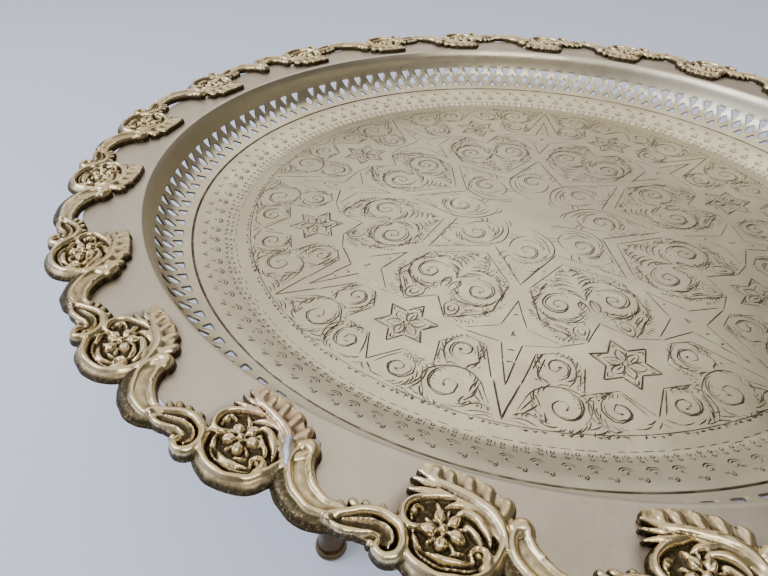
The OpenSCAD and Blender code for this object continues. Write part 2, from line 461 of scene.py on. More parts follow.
def unit_strokes(rel, gap, dm=0.0, dl=0.0, rng=None):
    """The leaf-and-medallion casting, its S-scroll and its link to the next one."""
    j = (lambda s: float(rng.normal(0, s))) if rng else (lambda s: 0.0)
    M = lambda pts: shifted(pts, 0, dm)
    # --- medallion: dark ground, raised rim
    rel.stroke(M([(-1.2, 269.6, 14.0, 3.2)]), zb=3.2, flat=True, tone=.62)
    rim = [(-17.4, 266.5, 1.6, 7.0), (-17.0, 271, 1.6, 7.4), (-15.0, 276, 1.6, 7.7), (-10.8, 280.4, 1.6, 7.9),
           (-4, 282.6, 1.6, 8.0), (3, 282.2, 1.6, 8.0), (8.2, 279.4, 1.5, 7.7), (11, 275.4, 1.4, 7.2), (12.2, 271.4, 1.2, 6.4)]
    rel.stroke(M([(p[0] * 1.07, 269 + (p[1] - 269) * 1.09, 2.3, 5.6) for p in rim[:7]]), zb=2.2, tone=.75)
    rel.stroke(M(rim), zb=4.0)
    rel.stroke(M([(-11.9, 277, .5, 5.4), (-7, 279.2, .7, 5.9), (-1, 280.0, .75, 5.9),
                  (4.4, 278.6, .7, 5.7), (8, 275.5, .5, 5.2)]), zb=3.0, tone=.25)
    # curl at the upper left of the rim
    rel.stroke(M([(-12.6, 277.0, 1.5, 7.8), (-13.8, 274.8, 2.2, 8.2), (-12.9, 272.0, 1.3, 7.4),
                  (-10.2, 271.4, 1.1, 6.9), (-8.7, 273.6, 1.0, 6.6), (-9.8, 275.6, .7, 6.0)]), zb=3.4)
    # flower: boss and five pointed petals, each with a crease
    cu, cv = .4 + j(.3), 268.4 + j(.3)
    turn = j(14)
    for k in range(5):
        a = rad(20 + 72 * k + turn + j(4))
        c, s = math.cos(a), math.sin(a)
        L = 7.0 + j(.35)
        pc, ps = -s, c
        for sg in (1, -1):
            rel.stroke(M([(cu + 1.8 * c, cv + 1.8 * s, .6, 6.0), (cu + 3.9 * c + sg * .85 * pc, cv + 3.9 * s + sg * .85 * ps, 1.25, 7.3),
                          (cu + 5.6 * c + sg * .65 * pc, cv + 5.6 * s + sg * .65 * ps, 1.0, 6.9), (cu + L * c, cv + L * s, .35, 5.4)]), zb=3.4)
    for k in range(5):
        a = rad(56 + 72 * k + turn)
        rel.stroke(M([(cu + 3.0 * math.cos(a), cv + 3.0 * math.sin(a), .5, 5.2), (cu + 6.4 * math.cos(a), cv + 6.4 * math.sin(a), .9, 6.0)]), zb=3.0, tone=.1)
    rel.stroke(M([(cu, cv, 1.75, 7.9)]), zb=4.6)
    # tapered leaves that wrap the flower
    for pts in (
        [(-13.9, 269.8, .4, 5.6), (-11.8, 265.6, 1.5, 6.9), (-8.2, 262.4, 1.9, 7.3), (-4.0, 261.4, 1.3, 6.8), (-1.6, 262.4, .4, 5.6)],
        [(-11.4, 270.6, .4, 5.4), (-9.6, 267.6, 1.3, 6.7), (-6.6, 265.6, 1.1, 6.5), (-5.0, 265.2, .4, 5.4)],
        [(-9.2, 276.0, .4, 5.4), (-5.2, 277.6, 1.3, 6.6), (-.6, 277.8, 1.4, 6.7), (3.6, 276.6, .4, 5.4)],
        [(-7.0, 273.6, .4, 5.2), (-5.0, 274.9, .9, 6.2), (-2.4, 275.4, .4, 5.2)],
        [(5.0, 276.4, .4, 5.4), (8.0, 274.2, 1.2, 6.5), (9.2, 271.6, .5, 5.6)],
        [(-10.6, 259.8, .4, 5.4), (-6.2, 258.4, 1.4, 6.7), (-1.4, 258.9, 1.5, 6.7), (2.2, 260.8, .4, 5.4)],
        [(1.2, 263.4, .4, 5.4), (3.8, 261.8, 1.2, 6.5), (5.2, 259.8, .4, 5.2)],
        [(-14.6, 262.8, .4, 5.4), (-12.4, 260.2, 1.2, 6.6), (-9.4, 258.0, .4, 5.4)],
    ):
        rel.stroke(M([(p[0] + j(.25), p[1] + j(.25), p[2], p[3]) for p in pts]), zb=3.2)
    # eyes of the scrolls
    for u_, v_ in ((-10.4, 263.6), (-10.9, 273.6), (10.2, 265.2)):
        rel.stroke(M([(u_, v_, 1.0, 7.0)]), zb=3.6)
    # C ring at the right
    rel.stroke(M([(9.6, 265.0, 5.8, 3.0)]), zb=3.2, flat=True, tone=.60)
    rel.stroke(M([(5.6, 268.0, .6, 6.0), (7.8, 270.3, 1.2, 7.2), (11.0, 270.7, 1.5, 7.7), (13.4, 268.5, 1.5, 7.8),
                  (14.0, 265.0, 1.5, 7.6), (12.4, 261.6, 1.4, 7.2), (9.0, 259.0, 1.2, 6.8),
                  (4.6, 257.4, 1.0, 6.4), (0.0, 256.9, .6, 5.6)]), zb=4.0)
    rel.stroke(M([(10.6, 268.2, .7, 6.2), (11.4, 265.8, .9, 6.4), (10.4, 263.2, .9, 6.2), (8.3, 263.0, .6, 5.6)]), zb=3.2, tone=.1)
    # --- leaf wing: broad spine, lobes that lean forward
    rel.stroke(M([(-18.0, 266.5, 2.8, 4), (-15.2, 260.5, 4.4, 4), (-10.0, 254.9, 5.0, 4), (-3.0, 252.0, 4.4, 4),
                  (4.5, 250.7, 3.8, 4), (11.5, 249.4, 2.0, 4)]), zb=6.0, flat=True, tone=.16)
    spine = [(-18.8, 269.5, 1.3, 7.0), (-17.4, 264.4, 1.8, 7.9), (-13.6, 259.4, 2.1, 8.3), (-8.2, 256.2, 2.1, 8.1),
             (-1.0, 254.4, 1.8, 7.8), (6.5, 253.1, 1.4, 7.2), (14.0, 250.4, .5, 5.4)]
    sp = catmull(np.array(spine), 60)
    lobes = [(.10, 6.6), (.26, 6.8), (.42, 6.4), (.57, 5.8), (.72, 5.0), (.86, 3.8)]
    for t0, L in lobes:
        a0 = sp[int(t0 * 59)]
        a1 = sp[min(59, int((t0 + .06) * 59))]
        dx, dy = a1[0] - a0[0], a1[1] - a0[1]
        m_ = math.hypot(dx, dy) or 1
        dx, dy = dx / m_, dy / m_
        nx, ny = dy, -dx
        if ny > 0:
            nx, ny = -nx, -ny
        L += j(.25)
        p1 = (a0[0] + dx * L * .30 + nx * L * .48, a0[1] + dy * L * .30 + ny * L * .48)
        p2 = (a0[0] + dx * L * .52 + nx * L * .86, a0[1] + dy * L * .52 + ny * L * .86)
        p3 = (a0[0] + dx * L * .78 + nx * L * .96, a0[1] + dy * L * .78 + ny * L * .96)
        rel.stroke(M([(a0[0], a0[1], 1.4, 6.8), (p1[0], p1[1], 2.3, 7.2), (p2[0], p2[1], 2.4, 7.2), (p3[0], p3[1], 1.5, 6.4)]), zb=4.4, tone=.04)
    rel.stroke(M(spine), zb=4.4)
    rel.stroke(M([(p[0] * .94 - .4, p[1] + 2.6, .7, 6.6) for p in spine[2:6]]), zb=3.6, tone=.05)
    for pts in ([(-3.0, 256.8, .5, 5.8), (4.4, 256.6, 1.2, 6.8), (10.0, 257.2, 1.2, 6.6), (15.0, 257.8, .4, 5.2)],
                [(3.0, 254.9, .5, 5.6), (9.4, 254.4, 1.2, 6.4), (15.2, 253.6, .4, 5.0)]):
        rel.stroke(M(pts), zb=3.4)
    # --- S-scroll (half way between the medallion's and the link's own set)
    ds = 0.5 * (dm + dl) + 0.2
    Sx = lambda pts: shifted(pts, 0, ds)
    outer = [(17.4, 279.4, 1.0, 6.8), (17.2, 281.8, 1.4, 7.6), (14.4, 283.2, 1.7, 8.0), (11.7, 282.2, 1.8, 8.2),
             (10.2, 279.4, 1.8, 8.2), (10.8, 275.8, 1.8, 8.0), (13.0, 272.8, 1.8, 8.0), (16.6, 270.9, 1.8, 7.8),
             (20.8, 270.4, 1.7, 7.6), (25.0, 271.6, 1.6, 7.6), (28.6, 274.0, 1.5, 7.4), (32.0, 276.4, 1.4, 7.4),
             (34.6, 278.4, 1.2, 7.2)]
    rel.stroke(Sx([(15.5, 277.2, 2.6, 3), (21.0, 276.4, 3.9, 3), (27.0, 277.4, 3.6, 3), (33.0, 278.2, 3.6, 3), (38, 278.8, 2.6, 3)]), zb=4.4, flat=True, tone=.55)
    rel.stroke(Sx(outer), zb=4.2)
    rel.stroke(Sx([(14.0, 280.2, .5, 6.4), (14.0, 276.8, .7, 7.0), (16.6, 274.4, .8, 7.0), (20.8, 273.9, .8, 6.9), (25.2, 275.2, .7, 6.6), (29.6, 277.4, .5, 6.2)]), zb=3.6)
    rel.stroke(Sx([(17.6, 277.6, .6, 6.0), (21.2, 277.6, 1.0, 6.6), (25.0, 279.4, 1.3, 6.8), (29.0, 280.4, 1.4, 6.9), (33.4, 279.8, 1.0, 6.6)]), zb=3.6)
    rel.stroke(Sx([(19.5, 280.4, 1.3, 6.0)]), zb=3.0)
    rel.stroke(Sx([(33.6, 279.4, 1.9, 8.4)]), zb=4.0)
    for pts in ([(23.0, 270.8, 1.1, 6.2), (25.8, 268.9, 1.3, 5.8)], [(26.6, 272.0, 1.1, 6.2), (29.8, 270.1, 1.3, 5.8)],
                [(30.0, 273.8, 1.0, 6.0), (33.0, 272.2, 1.1, 5.6)], [(18.4, 269.8, 1.0, 6.0), (20.6, 268.0, 1.1, 5.6)]):
        rel.stroke(Sx(pts), zb=3.6, tone=.15)
    # --- link: a shallow bright channel between two ridges, a dark slope outside
    k = (gap - 22.0 - 31.0) / (53.0 - 31.0)
    f = lambda u: u if u < 31 else 31 + (u - 31) * k
    Lk = lambda pts: [(f(p[0]), p[1] + dl, p[2], p[3]) for p in pts]
    rel.stroke(Lk([(31.0, 279.8, 2.0, 4.6), (36, 281.0, 3.4, 5.6), (42, 281.0, 3.9, 6.0), (48, 279.0, 4.0, 6.0), (53.6, 275.0, 3.9, 6.0),
                   (56.8, 270.0, 3.4, 5.8), (57.4, 265.8, 2.6, 5.6)]), zb=1.2, tone=1.0)
    rel.stroke(Lk([(32, 276.6, 2.4, 4), (38, 277.2, 3.2, 4), (44, 275.8, 3.4, 4), (49, 272.6, 3.4, 4), (52.4, 268.5, 3.2, 4), (52.8, 264.5, 2.8, 4)]), zb=6.0, flat=True, tone=.16)
    rel.stroke(Lk([(34, 277.4, .8, 6.0), (42, 277.2, 1.3, 6.3), (48, 274.2, 1.4, 6.3), (51.8, 269.6, 1.3, 6.2), (52.6, 265.6, .8, 6.0)]), zb=5.6, tone=.10)
    rel.stroke(Lk([(31.5, 278.8, 1.0, 6.6), (36, 279.8, 1.25, 7.3), (42, 279.6, 1.4, 7.7), (47.0, 277.4, 1.5, 7.8), (51.6, 273.6, 1.5, 7.8),
                   (54.6, 269.6, 1.5, 7.8), (55.4, 265.8, 1.6, 7.9), (54.8, 262.2, 2.0, 8.2)]), zb=4.6)
    rel.stroke(Lk([(31.6, 275.0, 1.1, 6.6), (36, 275.2, 1.3, 7.3), (40.5, 273.9, 1.4, 7.5), (45, 270.9, 1.4, 7.5), (48.4, 267.4, 1.5, 7.6), (50.0, 264, 1.7, 7.7)]), zb=4.4)
    rel.stroke(Lk([(50.0, 264.4, 1.7, 7.7), (50.4, 261.8, 2.2, 8.5), (52.8, 260.6, 2.8, 9.0), (55.4, 262.0, 2.2, 8.5)]), zb=4.8)
    rel.stroke(Lk([(46.0, 269.9, 1.1, 8.2)]), zb=5.0)


def filler_strokes(rel, length):
    """A spare link that bridges the one wide gap."""
    k = length / 24.0
    F = lambda pts: [(p[0] * k, p[1], p[2], p[3]) for p in pts]
    rel.stroke(F([(-4.6, 272, 2.0, 6.0), (2.6, 280.4, 2.5, 6.5), (10, 282.8, 2.7, 6.6), (17.6, 281.2, 2.5, 6.5), (25, 275, 2.0, 6.0)]), zb=1.8, tone=.85)
    rel.stroke(F([(-3, 266, 3.6, 4), (2, 272.6, 4.4, 4), (8, 276.6, 4.8, 4), (15, 276.8, 4.8, 4), (21, 272.2, 4.4, 4), (23.5, 266, 3.4, 4)]), zb=6.1, flat=True, tone=.14)
    rel.stroke(F([(-6, 268, 1.6, 7.6), (-3.2, 274, 1.6, 7.8), (3, 278.8, 1.6, 7.9), (10, 280.8, 1.6, 7.9), (17, 279.4, 1.6, 7.9), (23.2, 274.8, 1.6, 7.9), (26.4, 268, 1.7, 8.0)]), zb=4.6)
    rel.stroke(F([(0.4, 266, 1.5, 7.5), (3.6, 270.8, 1.4, 7.4), (8, 273.0, 1.4, 7.4), (13, 273.0, 1.4, 7.4), (17, 270.6, 1.4, 7.4), (19.6, 266, 1.6, 7.6)]), zb=4.4)
    rel.stroke(F([(-6.4, 268, 1.6, 7.6), (-6.0, 264.6, 2.2, 8.4), (-2.6, 263.0, 2.6, 8.8), (.4, 264.8, 2.0, 8.2)]), zb=4.6)
    rel.stroke(F([(19.4, 266, 1.6, 7.6), (20.2, 262.4, 2.2, 8.4), (23.4, 261.6, 2.7, 8.8), (26, 264.4, 2.0, 8.4)]), zb=4.6)


def box_blur(a, n):
    k = 2 * n + 1
    for ax in (0, 1):
        b = np.cumsum(np.pad(a, [(n + 1, n) if i == ax else (0, 0) for i in (0, 1)], mode="edge"), axis=ax)
        hi = [slice(None)] * 2
        lo = [slice(None)] * 2
        hi[ax], lo[ax] = slice(k, None), slice(None, -k)
        a = (b[tuple(hi)] - b[tuple(lo)]) / k
    return a


def relief_object(rel, name, theta0, mat, seed, lift=0.0, warm=0.0):
    """Closes a relief into a solid on the flange."""
    H, S = rel.H, rel.S
    inside = S > 0
    # soften, then add the casting skin
    Hs = np.where(inside, H, 4.0)
    wgt = box_blur(inside.astype(float), 1)
    sm = box_blur(np.where(inside, H, 0.0), 1) / np.maximum(wgt, 1e-6)
    Hs = np.where(inside, 0.45 * H + 0.55 * sm, 4.2)
    Hs = Hs + 0.13 * noise2(rel.U, rel.V, 2.4, seed) + 0.04 * noise2(rel.U, rel.V, 0.9, seed + 9)
    far = box_blur(box_blur(np.where(inside, Hs, 3.0), int(round(1.6 / rel.step))), int(round(1.2 / rel.step)))
    cav = np.clip((far - Hs) / 1.7 + 0.22 - (Hs - 5.6) * 0.12, 0, 1)
    Sb = box_blur(np.maximum(S, -2.5), 1)
    ni, nj = S.shape
    vid = -np.ones((ni, nj), int)
    idx = np.argwhere(inside)
    vid[inside] = np.arange(len(idx))
    tone = box_blur(np.where(inside, rel.T, 0.0), 1) / np.maximum(wgt, 1e-6)
    tone = np.clip(np.where(inside, tone, 0.8), 0, 1)
    pts = [np.c_[rel.U[inside], rel.V[inside], Hs[inside]]]
    cavs = [cav[inside]]
    tones = [tone[inside]]
    count = len(idx)
    # crossings on grid edges
    cross_h = -np.ones((ni - 1, nj), int)
    cross_v = -np.ones((ni, nj - 1), int)
    newp, newc = [], []
    for arr, di, dj in ((cross_h, 1, 0), (cross_v, 0, 1)):
        A = S[:ni - di, :nj - dj]
        B = S[di:, dj:]
        m = (A > 0) != (B > 0)
        ii, jj = np.where(m)
        t = A[m] / (A[m] - B[m])
        t = np.clip(t, 0.02, 0.98)
        up = rel.us[ii] * (1 - t) + rel.us[ii + di] * t
        vp = rel.vs[jj] * (1 - t) + rel.vs[jj + dj] * t
        h_in = np.where(A[m] > 0, Hs[ii, jj], Hs[ii + di, jj + dj])
        arr[ii, jj] = count + np.arange(len(ii))
        count += len(ii)
        newp.append(np.c_[up, vp, np.minimum(h_in, 5.2) - 0.35])
        newc.append(np.full(len(ii), 0.55))
    pts = np.vstack(pts + newp)
    cavs = np.concatenate(cavs + newc)
    nb0 = len(idx)
    faces, rim_edges = [], []
    ins = inside.astype(int)
    case = ins[:-1, :-1] + 2 * ins[1:, :-1] + 4 * ins[1:, 1:] + 8 * ins[:-1, 1:]
    full = np.argwhere(case == 15)
    quads = np.c_[vid[full[:, 0], full[:, 1]], vid[full[:, 0] + 1, full[:, 1]],
                  vid[full[:, 0] + 1, full[:, 1] + 1], vid[full[:, 0], full[:, 1] + 1]]
    mixed = np.argwhere((case > 0) & (case < 15))
    for i, j in mixed:
        corners = [(i, j), (i + 1, j), (i + 1, j + 1), (i, j + 1)]
        edges = [cross_h[i, j], cross_v[i + 1, j], cross_h[i, j + 1], cross_v[i, j]]
        flags = [inside[c] for c in corners]
        if sum(flags) == 2 and flags[0] == flags[2]:
            # saddle: two separate corners
            for q in range(4):
                if flags[q]:
                    faces.append([vid[corners[q]], edges[q], edges[q - 1]])
                    rim_edges.append((edges[q], edges[q - 1]))
            continue
        poly = []
        for q in range(4):
            if flags[q]:
                poly.append(vid[corners[q]])
            if flags[q] != flags[(q + 1) % 4]:
                poly.append(edges[q])
        faces.append(poly)
        on = [p for p in poly if p >= nb0]
        # the rim runs between the two crossings, in the polygon's order
        for a in range(len(poly)):
            p, q = poly[a], poly[(a + 1) % len(poly)]
            if p >= nb0 and q >= nb0:
                rim_edges.append((p, q))
    n = len(pts)
    # a flatter relief: the plate under it is thin, the ridges stand 5 mm tall
    pts[:, 2] = np.where(pts[:, 2] < 3.4, pts[:, 2] * 0.40, 1.36 + (pts[:, 2] - 3.4) * 0.80)
    # foot of the side wall: the same points on the flange, a little outside
    g0, g1 = np.gradient(Sb, rel.step)
    ci = np.clip(((pts[nb0:, 0] - rel.us[0]) / rel.step).round().astype(int), 0, ni - 1)
    cj = np.clip(((pts[nb0:, 1] - rel.vs[0]) / rel.step).round().astype(int), 0, nj - 1)
    out = -np.c_[g0[ci, cj], g1[ci, cj]]
    out /= np.linalg.norm(out, axis=1)[:, None] + 1e-6
    lowp = pts[nb0:].copy()
    lowp[:, :2] += out * 0.55
    lowp[:, 2] = 0.0
    midp = pts[nb0:].copy()
    midp[:, :2] += out * 0.34
    midp[:, 2] *= 0.55
    off = len(midp)
    allp = np.vstack([pts, midp, lowp])
    for p, q in rim_edges:
        pm, qm = n + p - nb0, n + q - nb0
        pl, ql = n + off + p - nb0, n + off + q - nb0
        faces.append([q, p, pm, qm])
        faces.append([qm, pm, pl, ql])
    # underside
    loop2d = [Vector((float(x), float(y))) for x, y in lowp[:, :2]]
    eds = [(int(p - nb0), int(q - nb0)) for p, q in rim_edges]
    res = delaunay_2d_cdt(loop2d, eds, [], 0, 1e-6)
    vout, _e, fout = res[0], res[1], res[2]
    orig = res[3]
    mapping = []
    extra = []
    for k, v in enumerate(vout):
        if orig[k]:
            mapping.append(n + off + orig[k][0])
        else:
            extra.append((v.x, v.y, 0.0))
            mapping.append(n + 2 * off + len(extra) - 1)
    if extra:
        allp = np.vstack([allp, np.array(extra)])
    cx = np.array([[sum(vout[a].x for a in fc) / 3, sum(vout[a].y for a in fc) / 3] for fc in fout])
    fi = np.clip((cx[:, 0] - rel.us[0]) / rel.step, 0, ni - 1.001)
    fj = np.clip((cx[:, 1] - rel.vs[0]) / rel.step, 0, nj - 1.001)
    i0, j0 = fi.astype(int), fj.astype(int)
    a, b = fi - i0, fj - j0
    sv = (S[i0, j0] * (1 - a) + S[i0 + 1, j0] * a) * (1 - b) + (S[i0, j0 + 1] * (1 - a) + S[i0 + 1, j0 + 1] * a) * b
    for fc, s_ in zip(fout, sv):
        if s_ > -0.30:
            faces.append([mapping[x] for x in reversed(fc)])
    faces = [tuple(int(x) for x in q) for q in quads] + [tuple(int(x) for x in fc) for fc in faces]
    th = rad(theta0) - allp[:, 0] / R_RING
    xyz = np.c_[allp[:, 1] * np.cos(th), allp[:, 1] * np.sin(th), FLANGE_Z + allp[:, 2] + lift]
    # u runs clockwise, so the faces are turned over to look outward
    faces = [fc[::-1] for fc in faces]
    full_c = np.concatenate([cavs, np.full(len(allp) - n, 0.6)])
    flank = np.zeros(len(allp))
    flank[:nb0] = tones[0]
    flank[nb0:n] = 0.7
    flank[n:] = 1.0
    ob = make_object(name, xyz, faces, mat, {"cavity": full_c, "flank": flank,
                     "warm": warm * np.clip((260.0 - allp[:, 1]) / 4.0, 0, 1)}, smooth=True)
    ob.data.set_sharp_from_angle(angle=rad(50))
    return ob


CAST_OFFSETS = {0: (-1.0, -2.0), 1: (-2.2, -4.4), 2: (-2.8, -0.5), 3: (0.2, -2.6), 4: (0, 0.2)}
rng = np.random.default_rng(7)
castings = []
for i, ang in enumerate(UNIT_ANGLES):
    nxt = UNIT_ANGLES[(i + 1) % 21]
    gap = ((ang - nxt) % 360) * math.pi / 180 * R_RING
    if i == 7:
        gap -= 27.5
    dm, dl = CAST_OFFSETS.get(i, (float(rng.uniform(-1.4, .8)), float(rng.uniform(-2.0, .8))))
    rel = Relief(-24, max(62, gap - 12), 243.5, 287)
    rel.warp(0.34, 4.5, 20 + i)
    unit_strokes(rel, gap, dm, dl, rng)
    ob = relief_object(rel, f"casting_{i + 1:02d}", ang, M_CAST, 100 + i, warm={2: 1.0, 3: .3, 1: .25}.get(i, .12))
    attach(ob, "tray")
    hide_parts(f"rim_casting_{i + 1:02d}")
    castings.append(ob)
rel = Relief(-12, 34, 255, 287)
rel.warp(0.34, 4.5, 60)
filler_strokes(rel, 24.0)
gap7 = ((UNIT_ANGLES[7] - UNIT_ANGLES[8]) % 360) * math.pi / 180 * R_RING
filler = relief_object(rel, "casting_filler", UNIT_ANGLES[7] - math.degrees((gap7 - 46.0) / R_RING), M_CAST, 161)
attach(filler, "tray")
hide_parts("filler_scroll")

# ---------------------------------------------------------------- solder
# Grey joints where the knob of one link meets the next medallion.

srng = np.random.default_rng(17)
for i, ang in enumerate(UNIT_ANGLES):
    big = 1.7 if i == 2 else float(srng.uniform(.75, 1.15))
    dm = CAST_OFFSETS[i][0] if i in CAST_OFFSETS else -0.4
    rel = Relief(-27, -11, 250, 278, step=.5)
    rel.warp(0.5, 3.0, 300 + i)
    rel.stroke([(-20.4, 261.4 + dm, 1.7 * big, 5.8), (-19.2, 264.4 + dm, 1.9 * big, 6.8), (-18.6, 267.6 + dm, 1.7 * big, 6.8), (-18.8, 270.6 + dm, .9 * big, 4.6)], zb=1.2)
    rel.stroke([(-21.6, 258.6 + dm, 1.3 * big, 3.0), (-18.0, 258.8 + dm, 1.5 * big, 3.4)], zb=.8)
    if i == 2:
        rel.stroke([(-19.8, 269.0 + dm, 2.0, 7.8), (-17.4, 265.0 + dm, 2.8, 8.7), (-14.8, 261.6 + dm, 2.8, 8.7), (-13.2, 258.4 + dm, 1.8, 7.6)], zb=2.0)
        rel.stroke([(-22.0, 256.0 + dm, 2.0, 2.8), (-16.6, 255.4 + dm, 2.4, 3.0)], zb=.8)
    ob = relief_object(rel, f"solder_{i + 1:02d}", ang, M_SOLDER, 400 + i)
    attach(ob, "tray")


# ---------------------------------------------------------- engraved strokes
# Every cut is a polyline in plan with a half width at each point.  It becomes
# a V-shaped groove in the sheet: an outline at the surface and a deep centre.

C22, S22 = math.cos(rad(22.5)), math.sin(rad(22.5))
STAR0 = 8.3
erng = np.random.default_rng(11)
GROOVES = []          # (points_mm Nx2, half widths N, depth)


def D(x, y):
    """A point given from the axis of a dart, in the frame of its star."""
    return (-x * C22 + y * S22, x * S22 + y * C22)


def S(x, y):
    return (x, y)


def add_groove(pts, hw, depth=0.28, taper=(0.35, 0.35)):
    pts = np.asarray(pts, float)
    hw = hw * 1.08
    L = np.r_[0, np.cumsum(np.hypot(*np.diff(pts, axis=0).T))]
    if L[-1] < 0.3:
        return
    ta, tb = taper[0] * .7, taper[1] * .7
    t = L / L[-1]
    # a few more points, so a taper stays at the ends
    t = np.unique(np.round(np.r_[t, ta * .45, ta, 1 - tb, 1 - tb * .45], 4))
    t = t[np.r_[True, np.diff(t) > .02]]
    t[-1] = 1.0
    pts = np.c_[np.interp(t * L[-1], L, pts[:, 0]), np.interp(t * L[-1], L, pts[:, 1])]
    n = len(pts)
    w = np.full(n, hw)
    if ta > 0:
        w *= np.clip(t / ta, 0.25, 1) ** 0.6
    if tb > 0:
        w *= np.clip((1 - t) / tb, 0.25, 1) ** 0.6
    GROOVES.append((pts, w, depth))


def plan(p, star_deg, mirror):
    """Star frame (units of the lip radius) to millimetres in plan."""
    x, y = p
    if mirror:
        x = -x
    a = rad(star_deg)
    return (R0 * (y * math.cos(a) + x * math.sin(a)), R0 * (y * math.sin(a) - x * math.cos(a)))


def smooth_path(pts, step=2.3):
    pts = np.asarray(pts, float)
    L = np.hypot(*np.diff(pts, axis=0).T).sum()
    return catmull(pts, max(3, int(L / step) + 1))


def circle_pts(c, r, a0, a1, n=9, r1=None):
    r1 = r if r1 is None else r1
    out = []
    for i in range(n):
        t = i / (n - 1)
        a = rad(a0 + (a1 - a0) * t)
        q = r + (r1 - r) * t
        out.append((c[0] + q * math.cos(a), c[1] + q * math.sin(a)))
    return out


HALF = []             # strokes of half a sector: (kind, points, half width mm)


def line(*pts, w=0.40):
    HALF.append(("line", list(pts), w))


def curve(*pts, w=0.36):
    HALF.append(("curve", list(pts), w))


def in_dart(pts):
    return [D(*p) for p in pts]


# straps and points of the interlace
line(S(0, .208), D(0, .345))
line(S(0, .248), D(.024, .352), w=.34)
line(D(.024, .352), D(.055, .468))
line(D(.055, .468), S(.055, .53))
line(S(.055, .53), S(0, .472))
line(D(0, .405), D(.028, .50))
line(D(.028, .50), D(.10, .53), w=.32)
line(D(.152, .511), D(.10, .54), w=.32)
line(D(.10, .54), D(.022, .556))
line(D(.022, .556), D(.012, .61), w=.45)
line(D(.012, .61), D(0, .678), w=.42)
line(D(0, .765), D(.028, .668), w=.48)
line(D(.028, .668), D(.052, .575), w=.42)
line(D(.052, .575), D(.097, .556), w=.32)
line(D(.097, .556), D(.149, .59), w=.34)
line(D(.149, .59), D(.147, .655), w=.40)
line(S(0, .738), S(.045, .668))
line(S(.045, .668), S(.105, .668), w=.32)
line(D(.048, .62), D(.060, .578), w=.42)
line(D(.056, .635), D(.070, .582), w=.36)
line(S(.018, .545), S(-.018 + .036, .545), w=.2)
# small marks on the dart's axis
for y in (.61, .575):
    curve(D(.006, y + .002), D(.001, y - .001), D(-.005, y + .003), w=.38)
line(D(.003, .53), D(-.001, .515), w=.42)
curve(D(.004, .46), D(-.004, .456), w=.34)

# hexagram with a flower
hx = []
for k in range(13):
    a = rad(90 - 30 * k)
    q = .0715 if k % 2 == 0 else .0405
    hx.append((q * math.cos(a), .598 + q * math.sin(a)))
for k in range(6):
    line(hx[k], hx[k + 1], w=.56)
for k in range(4):
    a = 90 - 60 * k
    ca, sa = math.cos(rad(a)), math.sin(rad(a))
    px, py = -sa, ca
    for sgn in (1, -1):
        curve((.007 * ca, .598 + .007 * sa), (.020 * ca + sgn * .011 * px, .598 + .020 * sa + sgn * .011 * py),
              (.034 * ca + sgn * .008 * px, .598 + .034 * sa + sgn * .008 * py), (.043 * ca, .598 + .043 * sa), w=.44)
    line((.014 * ca, .598 + .014 * sa), (.030 * ca, .598 + .030 * sa), w=.34)
    # a pair of nicks in each point of the star
    for sgn in (1, -1):
        line((.050 * ca + sgn * .006 * px, .598 + .050 * sa + sgn * .006 * py), (.058 * ca, .598 + .058 * sa), w=.34)
for k in range(3):
    b = 60 - 60 * k
    cb, sb = math.cos(rad(b)), math.sin(rad(b))
    line((.022 * cb, .598 + .022 * sb), (.036 * cb, .598 + .036 * sb), w=.34)
curve((0, .605), (.006, .602), (.007, .596), (.002, .591), w=.42)

def volute(c, r0, a0, turns, r1=.006, hand=1, n=22, w=.42, squash=1.0, tilt=0.0, dart=False, double=.0065, dspan=.6):
    """A scroll that winds in from its stem to a bulb; its first part is doubled."""
    def at(t, dr=0.0):
        q = r0 + (r1 - r0) * t ** .8 + dr
        a_ = rad(a0 + hand * 360 * turns * t)
        x, y = q * math.cos(a_), q * math.sin(a_) * squash
        ct, st_ = math.cos(rad(tilt)), math.sin(rad(tilt))
        p = (c[0] + x * ct - y * st_, c[1] + x * st_ + y * ct)
        return D(*p) if dart else p
    curve(*[at(i / (n - 1)) for i in range(n)], w=w)
    if double:
        m = max(5, int(n * dspan))
        curve(*[at(.04 + dspan * i / (m - 1), -double * (1 - .7 * i / (m - 1))) for i in range(m)], w=w * .8)
    e = at(1.0)
    curve((e[0] - .0035, e[1] + .002), e, (e[0] + .003, e[1] + .003), w=.52)


def fan(c, r, a0, a1, n, length, lean=28, w=.36, dart=False, inward=False):
    """Curved hatches that stand off a scroll like the lobes of a leaf."""
    for i in range(n):
        a_ = a0 + (a1 - a0) * i / max(1, n - 1)
        k_ = math.sin(math.pi * (i + .8) / (n + .6))
        L = length * (.55 + .6 * k_) * (-1 if inward else 1)
        pts = []
        for f_ in (0, .5, 1):
            q = r + L * f_
            b_ = rad(a_ + lean * f_ ** 1.5)
            p = (c[0] + q * math.cos(b_), c[1] + q * math.sin(b_))
            pts.append(D(*p) if dart else p)
        curve(*pts, w=w)


